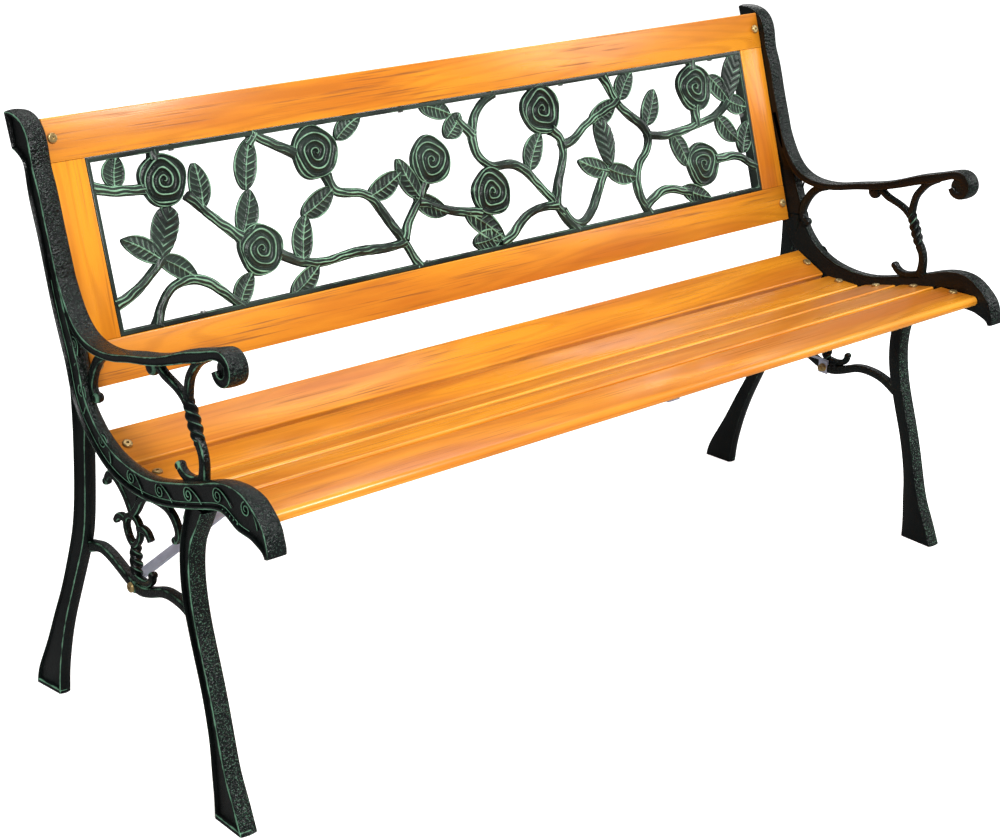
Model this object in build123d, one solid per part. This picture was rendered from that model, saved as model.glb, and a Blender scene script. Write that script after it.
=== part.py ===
from build123d import *

import os
from math import atan2, cos, degrees, hypot, radians, sin

# Garden bench: two cast iron end frames carry five hardwood seat slats and a
# hardwood back frame that holds a cast panel of climbing roses.
#
# Millimetres. X runs along the bench, Y points to the back, Z up. The origin
# lies on the floor under the middle of the bench.

# ------------------------------------------------------------ driving sizes

LENGTH = 1270.0            # over the outer faces of the two end frames
DEPTH = 522.0              # front of the seat rail to the back of the rear foot
HEIGHT = 748.5             # floor to the top of the scrolled uprights

FRAME_WIDTH = 25.5         # an end frame, across its flanges
RIM = 3.5                  # raised rim round the sunk outer face of a bar
SINK = 4.0                 # how far that outer face is sunk
STRUT_WIDTH = 12.0         # thinner bars and scrolls, along X
STRUT_INSET = 3.5          # from the inner face of the frame to those bars

SLAT_GAP = 10.0            # between neighbouring slats
SLAT_THICKNESS = 14.0
SLAT_ROUND = 3.0           # rounded long edges of a slat
END_CLEARANCE = 1.0        # wood end to cast iron
LUG_THICKNESS = 5.0
LUG_REACH = 26.0           # how far a lug stands in from the frame's inner face
LUG_ROOT = 12.0            # how far the root of a lug runs into the frame
LUG_SHARE = 0.56           # of a slat's width that its lug takes up

BACK_THICKNESS = 18.0
RAIL_WIDTH = 52.0          # top and bottom rails of the back
STILE_WIDTH = 46.5
BACK_SET = 12.0            # front of the back frame behind the upright's flange
PANEL_CLEARANCE = 0.5
PANEL_EDGE = 6.0           # wall of the cast panel's border
PANEL_RELIEF = 8.0         # thickness of the roses, leaves and vines
JOINT_CLEARANCE = 0.2      # between a stile and a rail

BOLT = 6.0                 # shank of the frame bolts
BOLT_HEAD = 12.5
HEAD_HEIGHT = 3.4
BOLT_CLEARANCE = 0.5
WASHER = 13.0
WASHER_THICKNESS = 1.4
NUT = 10.0                 # across flats
NUT_HEIGHT = 5.0
SOCKET = 4.0               # hexagon socket in a bolt head
BOLT_TAIL = 2.0            # thread past the nut
SCREW = 3.4
SCREW_HEAD = 7.0
SCREW_LENGTH = 11.0
DOWEL = 8.0
DOWEL_LENGTH = 30.0

STRIP_WIDTH = 20.0         # flat steel under the middle of the seat
STRIP_THICKNESS = 3.0
BRACE_WIDTH = 17.0
BRACE_THICKNESS = 3.0
BRACE_TAB = 26.0
BRACE_RUN = 285.0          # from the frame to the tab under the seat

# The side view is drawn for a bench of these sizes and follows DEPTH and HEIGHT.
DRAWN_DEPTH = 522.0
DRAWN_HEIGHT = 748.5
DRAWN_FLOOR = -6.5         # height of the floor in the drawing

# ------------------------------------------------------- the side view
# Each bar is a list of stations (y, z, width): a point on its middle line and
# the width of the bar there.

UPRIGHT = [(213, 700, 27), (201, 665, 27), (186, 620, 28), (171, 575, 29), (158, 535, 30),
           (140, 490, 31), (129, 462, 32), (123, 440, 32)]
REAR_LEG = [(123, 440, 30), (124, 410, 26), (127, 375, 20), (128.5, 350, 19), (132, 300, 19),
            (140, 250, 20.5), (158, 200, 19), (179, 150, 18), (197, 110, 21), (216, 61, 29),
            (230, 22, 42), (236, 0, 49), (239, -20, 48)]
SEAT_RAIL = [(121, 432, 34), (94, 397, 30), (59, 373.5, 31), (9, 362.5, 31), (-41, 365, 30),
             (-91, 378, 31), (-141, 394.5, 31), (-179, 405, 37), (-210, 400, 47),
             (-233, 392.2, 36.5), (-245.5, 384, 28), (-253.2, 375.2, 17.5), (-257.5, 368.2, 10),
             (-258.5, 363, 6)]
FRONT_LEG = [(-121, 376, 32), (-112, 352, 26), (-103, 330, 22), (-98, 300, 21), (-98, 280, 21),
             (-102, 250, 21), (-110, 220, 20), (-120, 190, 20), (-132, 155, 20),
             (-142, 120, 21), (-150, 85, 24), (-157, 50, 32), (-164, 25, 41), (-170, 0, 51),
             (-175, -20, 58)]
ARM = [(155, 560, 11), (142.5, 534.5, 11), (122, 511, 11), (100, 500, 11), (69, 497, 10),
       (38, 500.8, 10), (8, 508.5, 10), (-32, 517.5, 11), (-73, 530, 12.5), (-113, 545, 14),
       (-148, 555.5, 14), (-170, 563, 14)]
ARM_ROLL = (-179, 549.5, 43)          # rolled end of the armrest: centre and diameter

FRONT_STRUT = [(-137, 549, 8), (-119, 538, 8), (-109, 527, 8), (-102.5, 517, 8),
               (-99, 504, 8), (-97, 490, 9)]
SLOPING_STRUT = [(-40, 513, 8), (-46, 508, 8), (-68, 500, 7.5), (-87, 492, 7.5), (-97, 486, 8)]
TWIST_POST = [(-96.5, 489), (-107, 468), (-117.5, 444)]
TWIST_THICKNESS = 12.0
POST_FOOT = [(-117, 446, 11), (-123, 436, 10), (-125.5, 425, 10), (-125, 412, 11),
             (-123, 400, 14)]
POST_HOOK = [(-120, 403, 9), (-106, 398.5, 8), (-92, 397, 9), (-82, 401, 9), (-77, 406, 9)]
ARM_BRACKET = [(64, 494, 9), (77, 489, 9), (90, 480, 10), (100, 466, 10), (106, 452, 10),
               (106, 440, 9), (99, 431, 9)]
ARM_KNOB = (-27, 507, 21)
BRACKET_CURL = (96, 432, 13)
HOOK_CURL = (-77, 406, 11)

CROSSBAR = [(132, 229, 12), (120, 233, 10.5), (109, 235.5, 10), (94, 234.5, 10), (79, 230.5, 10),
            (59, 223, 10), (40, 216.5, 11), (26, 214, 12), (9, 216, 11), (-11, 223, 10),
            (-26, 229, 10), (-41, 232, 10), (-56, 232, 10), (-71, 230, 10), (-86, 225, 10.5),
            (-104, 216, 12)]
BRACE_BOSS = (33, 214.5, 19)
LOWER_POST = [(32.5, 226), (32.5, 268)]
LOWER_HOOK = [(32.5, 228, 8), (14, 227, 7.5), (2, 230, 7.5), (-5, 237, 7.5), (-6, 243, 7)]
LOWER_HOOK_CURL = (-6.5, 243, 9.5)
PEAR_RING = (32, 287, 24, 30)         # centre of the opening, its width and height
RING_WALL = 6.0
SIDE_CURL = [(12, 6, 7), (22, 9, 7), (31, 7, 7), (38, -1, 6)]   # from the ring's middle
FORK_WEB = [(32, 300), (52, 354), (11, 352)]
REAR_FORK = [(33, 308, 8), (42, 322, 8), (54, 334, 8), (67, 342, 8), (79, 342, 8), (88, 331, 7)]
FRONT_FORK = [(33, 306, 8), (20, 320, 8), (10, 334, 8), (-4, 341, 8), (-29, 344, 9),
              (-51, 339, 8), (-64, 326, 8), (-66, 315, 8), (-60, 308, 7)]
LEG_GUSSET = [(-92, 366), (-122, 374), (-96, 318), (-88, 322), (-84, 346)]

# The scrolled head of the upright: its front, over the top, then its back edge.
HEAD_FRONT = [(196, 686), (199, 707), (206, 722), (218, 735), (234, 741.2), (258, 740.6)]
HEAD_BACK = [(242, 697), (231, 693.5), (221, 688)]

# The middle of each seat slat's top, and its tilt in degrees, front edge down when positive.
SLATS = [(73, 375.8, 24.8), (8.2, 362.4, 0), (-61.5, 373.5, -14.7), (-129, 390, -11.7),
         (-199, 399.3, -1.4)]

# Front face of the back frame: a point at the bottom of the rose panel and its lean.
PANEL_FOOT = (139.1, 481.5)
LEAN = 17.8                # degrees back from upright
PANEL_HEIGHT = 213.8

# ------------------------------------------------------- the rose panel
# Drawn on the front of the panel: x along the bench, w up the leaning face,
# for a panel of the size below. Vines are (x, w) points, leaves are root, tip
# and width, roses are centre and diameter.

DRAWN_PANEL = 1123.0
VINE_WIDTH = 12.5
LEAF_FULLNESS = 1.1         # the leaves are this much broader than the widths listed

ROSES = [(-463, 173, 66), (-345, 68, 66), (-238, 174, 70), (-57, 137, 66), (37, 80, 66),
         (150, 178, 70), (455, 171, 70), (447, 58, 66)]

VINES = [
    [(-566, 178), (-530, 170), (-490, 166)],
    [(-566, 37), (-535, 45), (-510, 60), (-484, 80)],
    [(-508, -2), (-497, 25), (-476, 45), (-453, 49), (-430, 43), (-405, 22), (-385, 2)],
    [(-433, 150), (-415, 130), (-395, 110), (-370, 88)],
    [(-322, 216), (-334, 196)],
    [(-326, 211), (-300, 195), (-268, 178)],
    [(-318, 58), (-295, 45), (-270, 37), (-200, 39), (-150, 36), (-122, 38)],
    [(-226, 143), (-216, 122), (-180, 113), (-163, 104), (-148, 82), (-124, 42),
     (-105, -2)],
    [(-122, 42), (-105, 68), (-85, 90), (-72, 108)],
    [(-88, 86), (-50, 71), (-20, 62), (12, 56)],
    [(70, 216), (45, 197), (28, 177), (22, 152), (30, 127), (50, 114), (80, 112), (105, 99),
     (128, 72), (150, 46), (168, 18), (182, -2)],
    [(-2, 186), (24, 160)],
    [(40, 8), (58, 14), (80, 30), (105, 42), (150, 44)],
    [(150, 46), (165, 82), (180, 116), (178, 134), (163, 148)],
    [(178, 124), (200, 128), (225, 143), (262, 158), (298, 172)],
    [(278, 216), (286, 192), (297, 170), (325, 142), (346, 118), (341, 96), (320, 76),
     (310, 54), (314, 26), (325, -2)],
    [(160, 34), (186, 12), (205, 18), (228, 44), (250, 74)],
    [(344, 116), (380, 110), (420, 112), (460, 118), (490, 124), (520, 140)],
    [(317, 12), (340, 25), (362, 32), (390, 28), (412, 20)],
    [(474, 61), (500, 61), (527, 58), (547, 46), (566, 38)],
    [(452, 145), (449, 114)],
    [(-470, 198), (-468, 216)],
    [(457, 198), (458, 216)],
]

LEAVES = [
    ((-530, 172), (-520, 216), 29), ((-486, 79), (-534, 112), 26), ((-487, 80), (-461, 140), 34),
    ((-489, 82), (-441, 47), 25), ((-416, 130), (-417, 187), 28), ((-351, 143), (-331, 206), 31),
    ((-367, 90), (-345, 143), 31), ((-392, 3), (-364, 42), 25), ((-311, 3), (-264, 33), 26),
    ((-287, 40), (-270, 99), 29), ((-274, 98), (-220, 126), 28), ((-202, 186), (-158, 214), 25),
    ((-167, 105), (-110, 129), 28), ((-85, 90), (-111, 147), 27), ((-93, 93), (-43, 64), 27),
    ((-58, 214), (-10, 192), 27), ((-24, 163), (6, 192), 29), ((-12, 60), (46, 12), 31),
    ((-8, 16), (42, 22), 28), ((110, 99), (141, 147), 30), ((239, 149), (292, 172), 28),
    ((263, 82), (254, 150), 31), ((257, 76), (204, 98), 26), ((254, 80), (310, 59), 28),
    ((300, 173), (332, 216), 29), ((344, 129), (371, 179), 30), ((394, 110), (416, 59), 28),
    ((492, 122), (529, 81), 29), ((486, 184), (522, 142), 29), ((520, 145), (556, 216), 34),
    ((516, 146), (565, 128), 28), ((534, 62), (562, 108), 29), ((398, 29), (452, 6), 26),
]

# ------------------------------------------------------------ worked-out sizes

half_length = LENGTH / 2
inner_face = half_length - FRAME_WIDTH
strut_face = inner_face + STRUT_INSET
wood_half = inner_face - END_CLEARANCE
bolt_x = inner_face - 10.5
y_scale = DEPTH / DRAWN_DEPTH
z_scale = HEIGHT / DRAWN_HEIGHT
panel_half = wood_half - STILE_WIDTH
x_scale = 2 * panel_half / DRAWN_PANEL
nut_radius = NUT / 2 / cos(radians(30))


def side(point):
    """A point of the drawn side view at the size of this bench."""
    return (point[0] * y_scale, (point[1] - DRAWN_FLOOR) * z_scale)


def grown(stations):
    """Stations at the size of this bench; the widths stay as they are."""
    return [(*side(station), station[2]) for station in stations]


# ------------------------------------------------------------ drawing helpers

def edges_of(stations, trim=0.0):
    """The two edges of a bar: points half a width to each side of its middle line."""
    left, right = [], []
    last = len(stations) - 1
    for i, (y, z, width) in enumerate(stations):
        before = stations[max(i - 1, 0)]
        after = stations[min(i + 1, last)]
        dy, dz = after[0] - before[0], after[1] - before[1]
        run = hypot(dy, dz)
        half = width / 2 - trim
        left.append((y - dz / run * half, z + dy / run * half))
        right.append((y + dz / run * half, z - dy / run * half))
    return left, right


def bar_face(stations, trim=0.0):
    """A flat bar with smooth edges and square ends."""
    left, right = edges_of(stations, trim)
    outline = Spline(*left) + Line(left[-1], right[-1]) + Spline(*right[::-1]) \
        + Line(right[0], left[0])
    return make_face(outline)


def disc(centre, diameter):
    return Pos(*centre) * Circle(diameter / 2)


def leaf_face(root, tip, width):
    """A leaf: two arcs that meet at its root and its tip."""
    dx, dw = tip[0] - root[0], tip[1] - root[1]
    length = hypot(dx, dw)
    middle = ((root[0] + tip[0]) / 2, (root[1] + tip[1]) / 2)
    across = (-dw / length * width / 2, dx / length * width / 2)
    one = (middle[0] + across[0], middle[1] + across[1])
    other = (middle[0] - across[0], middle[1] - across[1])
    return make_face(ThreePointArc(root, one, tip) + ThreePointArc(tip, other, root))


def cast(face, near, width):
    """A side-view face made solid, from x = -near outwards by width."""
    return extrude(Plane.YZ.offset(-near - width) * face, amount=width)


def mirrored(shape):
    return mirror(shape, about=Plane.YZ)


# ------------------------------------------------------------ back frame axes

lean_plane = Plane(origin=(0, *side(PANEL_FOOT)), x_dir=(1, 0, 0),
                   z_dir=(0, -cos(radians(LEAN)), sin(radians(LEAN))))
# Its own x is the bench's X, its y runs up the back and its z comes out of the front.


def board(x0, x1, w0, w1):
    """A board of the back frame, front face on the leaning plane."""
    box = Box(x1 - x0, w1 - w0, BACK_THICKNESS)
    return lean_plane * Pos((x0 + x1) / 2, (w0 + w1) / 2, -BACK_THICKNESS / 2) * box


# ------------------------------------------------------------ slat places

class SlatPlace:
    """Where one slat lies: the middle of its top, and its tilt."""

    def __init__(self, y, z, tilt):
        self.y, self.z = side((y, z))
        self.tilt = tilt

    def place(self, x=0.0):
        """A frame on the slat's top: y across the slat, z out of it."""
        return Pos(x, self.y, self.z) * Rot(self.tilt, 0, 0)


slat_places = [SlatPlace(*slat) for slat in SLATS]
slat_steps = [hypot(a.y - b.y, a.z - b.z) for a, b in zip(slat_places, slat_places[1:])]
slat_width = sum(slat_steps) / len(slat_steps) - SLAT_GAP
lug_width = slat_width * LUG_SHARE
BACK_BOLT_HEIGHTS = [-RAIL_WIDTH / 2, PANEL_HEIGHT + RAIL_WIDTH / 2 + 2]


# ------------------------------------------------------------ fasteners

def bolt(grip):
    """Domed socket bolt, head on z = 0, shank down through the grip, washer and nut."""
    shank = grip + WASHER_THICKNESS + NUT_HEIGHT + BOLT_TAIL
    head = Pos(0, 0, HEAD_HEIGHT / 2) * Cylinder(BOLT_HEAD / 2, HEAD_HEIGHT)
    head = fillet(head.edges().group_by(Axis.Z)[-1], HEAD_HEIGHT * 0.6)
    socket = extrude(Pos(0, 0, HEAD_HEIGHT - 2) * RegularPolygon(SOCKET / 2, 6), amount=3)
    return head - socket + Pos(0, 0, -shank / 2) * Cylinder(BOLT / 2, shank)


def washer(grip):
    ring = Cylinder(WASHER / 2, WASHER_THICKNESS)
    ring -= Cylinder((BOLT + BOLT_CLEARANCE) / 2, WASHER_THICKNESS)
    return Pos(0, 0, -grip - WASHER_THICKNESS / 2) * ring


def nut(grip):
    body = extrude(RegularPolygon(nut_radius, 6), amount=NUT_HEIGHT)
    body -= Pos(0, 0, NUT_HEIGHT / 2) * Cylinder((BOLT + BOLT_CLEARANCE) / 2, NUT_HEIGHT)
    return Pos(0, 0, -grip - WASHER_THICKNESS - NUT_HEIGHT) * body


def bolt_hole(length):
    radius = (BOLT + BOLT_CLEARANCE) / 2
    return Pos(0, 0, -length / 2) * Cylinder(radius, length + 2)


def wood_screw(length=SCREW_LENGTH):
    """Pan-head screw, head on z = 0."""
    head = Pos(0, 0, 0.9) * Cylinder(SCREW_HEAD / 2, 1.8)
    return head + Pos(0, 0, -length / 2) * Cylinder(SCREW / 2, length)


def screw_hole(length=SCREW_LENGTH):
    return Pos(0, 0, -(length + 1) / 2) * Cylinder(SCREW / 2 + 0.15, length + 3)


# Frames on which each set of fasteners stands, head face up.
seat_grip = SLAT_THICKNESS + LUG_THICKNESS
back_grip = BACK_THICKNESS + LUG_THICKNESS


def seat_bolt_places(side_sign):
    return [slat.place(side_sign * bolt_x) for slat in slat_places]


def back_bolt_places(side_sign):
    return [lean_plane * Pos(side_sign * bolt_x, height, 0) for height in BACK_BOLT_HEIGHTS]


boss_y, boss_z = side(BRACE_BOSS)
brace_bolt_place = Pos(-(strut_face + STRUT_WIDTH), boss_y, boss_z) * Rot(0, -90, 0)
brace_grip = STRUT_WIDTH + BRACE_THICKNESS


# ------------------------------------------------------------ end frames

def seat_lug(slat):
    """A cast lug under a slat's end, with a root that runs up into the seat rail."""
    reach = LUG_REACH + LUG_ROOT
    plate = Pos(0, 0, -SLAT_THICKNESS - LUG_THICKNESS / 2) * Box(reach, lug_width, LUG_THICKNESS)
    plate = slat.place(-(inner_face + LUG_ROOT - reach / 2)) * plate
    root_height = SLAT_THICKNESS + LUG_THICKNESS + RIM
    root = Pos(0, 0, RIM - root_height / 2) * Box(LUG_ROOT, lug_width, root_height)
    root = slat.place(-(inner_face + LUG_ROOT / 2)) * root
    return plate + root


def back_lug(height):
    """A cast lug behind a back rail's end, rooted in the upright."""
    reach = LUG_REACH + LUG_ROOT
    plate = Pos(0, 0, -BACK_THICKNESS - LUG_THICKNESS / 2) * Box(reach, lug_width, LUG_THICKNESS)
    middle = -(inner_face + LUG_ROOT - reach / 2)
    root_depth = LUG_THICKNESS + BACK_THICKNESS * 0.6
    root = Pos(0, 0, -BACK_THICKNESS - LUG_THICKNESS + root_depth / 2) \
        * Box(LUG_ROOT, lug_width, root_depth)
    return lean_plane * Pos(middle, height, 0) * plate \
        + lean_plane * Pos(-(inner_face + LUG_ROOT / 2), height, 0) * root


def head_face():
    front = [side(point) for point in HEAD_FRONT]
    back = [side(point) for point in HEAD_BACK]
    return make_face(Spline(*front) + Line(front[-1], back[0]) + Spline(*back)
                     + Line(back[-1], front[0]))


def on_floor(shape):
    """Cuts off whatever would hang under the floor."""
    under = Pos(0, 0, -100) * Box(4 * LENGTH, 4 * DEPTH, 200)
    return shape - under


def twist_post(points):
    """A straight round post between two points of the side view."""
    (y0, z0), (y1, z1) = side(points[0]), side(points[-1])
    length = hypot(y1 - y0, z1 - z0)
    tilt = degrees(atan2(z1 - z0, y1 - y0)) - 90
    middle = Pos(-(strut_face + STRUT_WIDTH / 2), (y0 + y1) / 2, (z0 + z1) / 2)
    return middle * Rot(tilt, 0, 0) * Cylinder(TWIST_THICKNESS / 2, length)


def pear_ring():
    """A ring round a pear-shaped opening, drawn round its own middle."""
    y, z, width, height = PEAR_RING

    def pear(w, h):
        top = (0, h * 0.42)
        low = (0, -h * 0.58)
        right = Spline(top, (w / 2, h * 0.08), low, tangents=[(1, 0), (-0.45, -1)])
        left = Spline(low, (-w / 2, h * 0.08), top, tangents=[(-0.45, 1), (1, 0)])
        return make_face(right + left)

    outer = pear(width + 2 * RING_WALL, height + 2 * RING_WALL)
    return Pos(*side((y, z))) * (outer - pear(width, height))


def strut_faces():
    """Every thin bar and scroll of one end frame, in the side view."""
    ring_y, ring_z = side(PEAR_RING)
    curls = []
    for sign in (1, -1):
        stations = [(ring_y + sign * y, ring_z + z, width) for y, z, width in SIDE_CURL]
        curls.append(bar_face(stations))
    faces = [bar_face(grown(bar)) for bar in
             (FRONT_STRUT, SLOPING_STRUT, POST_FOOT, POST_HOOK, ARM_BRACKET, CROSSBAR,
              LOWER_HOOK, REAR_FORK, FRONT_FORK)]
    faces += [disc(side(round_end), round_end[2]) for round_end in
              (ARM_KNOB, BRACKET_CURL, HOOK_CURL, BRACE_BOSS, LOWER_HOOK_CURL)]
    faces.append(make_face(Polyline(*[side(p) for p in FORK_WEB], close=True)))
    faces.append(make_face(Polyline(*[side(p) for p in LEG_GUSSET], close=True)))
    faces.append(pear_ring())
    return faces + curls


def end_frame():
    """The left end frame: broad flanged bars, thin struts and lugs, in one casting."""
    bars = [UPRIGHT, REAR_LEG, SEAT_RAIL, FRONT_LEG, ARM]
    frame = None
    for stations in bars:
        solid = cast(bar_face(grown(stations)), inner_face, FRAME_WIDTH)
        frame = solid if frame is None else frame + solid
    frame += cast(head_face(), inner_face, FRAME_WIDTH)
    frame += cast(disc(side(ARM_ROLL), ARM_ROLL[2]), inner_face, FRAME_WIDTH)
    for stations in (SEAT_RAIL, UPRIGHT):
        broad = [station for station in grown(stations) if station[2] > 4 * RIM]
        frame -= cast(bar_face(broad, RIM), half_length - SINK, SINK)
    for face in strut_faces():
        frame += cast(face, strut_face, STRUT_WIDTH)
    for points in (TWIST_POST, LOWER_POST):
        frame += twist_post(points)
    for slat in slat_places:
        frame += seat_lug(slat)
    for height in BACK_BOLT_HEIGHTS:
        frame += back_lug(height)
    for place in seat_bolt_places(-1):
        frame -= place * bolt_hole(2 * seat_grip)
    for place in back_bolt_places(-1):
        frame -= place * bolt_hole(2 * back_grip)
    frame -= brace_bolt_place * bolt_hole(brace_grip + 2)
    return on_floor(frame)


# ------------------------------------------------------------ seat

def seat_slat(number, slat):
    """One slat with rounded long edges; the front one has a full-round nose."""
    body = Pos(0, 0, -SLAT_THICKNESS / 2) * Box(2 * wood_half, slat_width, SLAT_THICKNESS)
    body = fillet(body.edges().filter_by(Axis.X), SLAT_ROUND)
    if number == len(slat_places) - 1:
        nose = Pos(0, -slat_width / 2, -SLAT_THICKNESS / 2) * Rot(0, 90, 0) \
            * Cylinder(SLAT_THICKNESS / 2, 2 * wood_half)
        body += nose
    for sign in (-1, 1):
        body -= Pos(sign * bolt_x, 0, 0) * bolt_hole(SLAT_THICKNESS)
    return slat.place() * body


def strip_screw_places():
    """Under the middle of every slat, head down."""
    drop = Pos(0, 0, -SLAT_THICKNESS - STRIP_THICKNESS) * Rot(180, 0, 0)
    return [slat.place() * drop for slat in slat_places]


def strip_points():
    """Underside of the slats at the middle of the bench, from back to front."""
    points = []
    for slat in slat_places:
        tilt = radians(slat.tilt)
        for across in (slat_width / 2, -slat_width / 2):
            y = slat.y + across * cos(tilt) + SLAT_THICKNESS * sin(tilt)
            z = slat.z + across * sin(tilt) - SLAT_THICKNESS * cos(tilt)
            points.append((y, z))
    return points


def seat_strip():
    """Flat steel bent to the hollow of the seat, screwed up into every slat."""
    top = strip_points()
    middles = []
    for i, (y, z) in enumerate(top):
        tilt = radians(slat_places[i // 2].tilt)
        middles.append((y + STRIP_THICKNESS * sin(tilt), z - STRIP_THICKNESS * cos(tilt)))
    outline = make_face(Polyline(*top, *middles[::-1], close=True))
    strip = extrude(Plane.YZ.offset(-STRIP_WIDTH / 2) * outline, amount=STRIP_WIDTH)
    for place in strip_screw_places():
        strip -= place * screw_hole(STRIP_THICKNESS)
    return strip


# ------------------------------------------------------------ braces

brace_slat = slat_places[1]
brace_top_z = brace_slat.z - SLAT_THICKNESS
brace_foot_x = -strut_face
brace_knee = 12.0          # straight part past the bolt before the brace leans in


def brace_line():
    """The brace seen from the front: up the frame, across, and along the seat's underside."""
    return [(brace_foot_x + BRACE_THICKNESS / 2, boss_z - 9),
            (brace_foot_x + BRACE_THICKNESS / 2, boss_z + brace_knee),
            (brace_foot_x + BRACE_RUN, brace_top_z - BRACE_THICKNESS / 2),
            (brace_foot_x + BRACE_RUN + BRACE_TAB, brace_top_z - BRACE_THICKNESS / 2)]


def brace_screw_place():
    """Up through the brace's tab into the slat above it, head down."""
    x = brace_foot_x + BRACE_RUN + BRACE_TAB * 0.62
    return Pos(x, boss_y, brace_top_z - BRACE_THICKNESS) * Rot(180, 0, 0)


def brace():
    """Flat steel strip bent flat against the frame at one end and under a slat at the other."""
    line = Polyline(*brace_line())
    face = trace(line, BRACE_THICKNESS)
    strip = extrude(Plane.XZ.offset(-boss_y - BRACE_WIDTH / 2) * face, amount=BRACE_WIDTH)
    strip -= brace_bolt_place * bolt_hole(brace_grip + 4)
    return strip - brace_screw_place() * screw_hole(BRACE_THICKNESS)


# ------------------------------------------------------------ back

def dowel_places():
    """Two dowels in each end of each stile, on the joint, along the stile."""
    places = []
    for sign in (-1, 1):
        for height in (0.0, PANEL_HEIGHT):
            for across in (-0.25, 0.25):
                x = sign * (panel_half + STILE_WIDTH * (0.5 + across))
                places.append(lean_plane * Pos(x, height, -BACK_THICKNESS / 2) * Rot(90, 0, 0))
    return places


def dowel_hole():
    return Cylinder(DOWEL / 2 + 0.1, DOWEL_LENGTH + 1)


def back_rail(w0):
    rail = board(-wood_half, wood_half, w0, w0 + RAIL_WIDTH)
    rail = fillet(rail.edges().filter_by(Axis.X), 2.0)
    for place in dowel_places():
        rail -= place * dowel_hole()
    for sign in (-1, 1):
        for place in back_bolt_places(sign):
            rail -= place * bolt_hole(BACK_THICKNESS)
    for place in panel_screw_places():
        rail -= place * screw_hole()
    return rail


def back_stile(sign):
    inner = panel_half
    outer = panel_half + STILE_WIDTH
    x0, x1 = sorted((sign * inner, sign * outer))
    stile = board(x0, x1, JOINT_CLEARANCE, PANEL_HEIGHT - JOINT_CLEARANCE)
    for place in dowel_places():
        stile -= place * dowel_hole()
    for place in panel_screw_places():
        stile -= place * screw_hole()
    return stile


PANEL_SCREWS_ALONG = [-0.78, -0.15, 0.36, 0.9]


def panel_screw_places():
    """Screws through the panel's border, heads inside the border."""
    reach = PANEL_EDGE + PANEL_CLEARANCE
    middle = -BACK_THICKNESS * 0.72
    places = []
    for share in PANEL_SCREWS_ALONG:
        x = share * panel_half
        places.append(lean_plane * Pos(x, reach, middle) * Rot(-90, 0, 0))
        places.append(lean_plane * Pos(x, PANEL_HEIGHT - reach, middle) * Rot(90, 0, 0))
    for sign in (-1, 1):
        x = sign * (panel_half - reach)
        places.append(lean_plane * Pos(x, PANEL_HEIGHT * 0.55, middle) * Rot(0, -sign * 90, 0))
    return places


def rose_panel():
    """Cast border with a flat relief of vines, leaves and roses across it."""
    half = panel_half - PANEL_CLEARANCE
    low, high = PANEL_CLEARANCE, PANEL_HEIGHT - PANEL_CLEARANCE
    middle = (low + high) / 2
    window = Pos(0, middle) * Rectangle(2 * (half - PANEL_EDGE), high - low - 2 * PANEL_EDGE)
    border = Pos(0, middle) * Rectangle(2 * half, high - low) - window
    relief = None
    for x, w, diameter in ROSES:
        rose = disc((x, w), diameter)
        relief = rose if relief is None else relief + rose
    for points in VINES:
        relief += bar_face([(x, w, VINE_WIDTH) for x, w in points])
    for root, tip, width in LEAVES:
        relief += leaf_face(root, tip, width * LEAF_FULLNESS)
    relief = scale(relief, by=(x_scale, 1, 1))
    inside = Pos(0, middle) * Rectangle(2 * half - PANEL_EDGE, high - low - PANEL_EDGE)
    relief = relief & inside
    panel = extrude(Pos(0, 0, -BACK_THICKNESS) * border, amount=BACK_THICKNESS)
    panel += extrude(Pos(0, 0, -PANEL_RELIEF) * relief, amount=PANEL_RELIEF)
    panel = lean_plane * panel
    for place in panel_screw_places():
        panel -= place * screw_hole()
    return panel


# ------------------------------------------------------------ the bench

def group(solids):
    """Separate solids kept together in one node."""
    return Compound(children=[part for shape in solids for part in shape.solids()])


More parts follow.
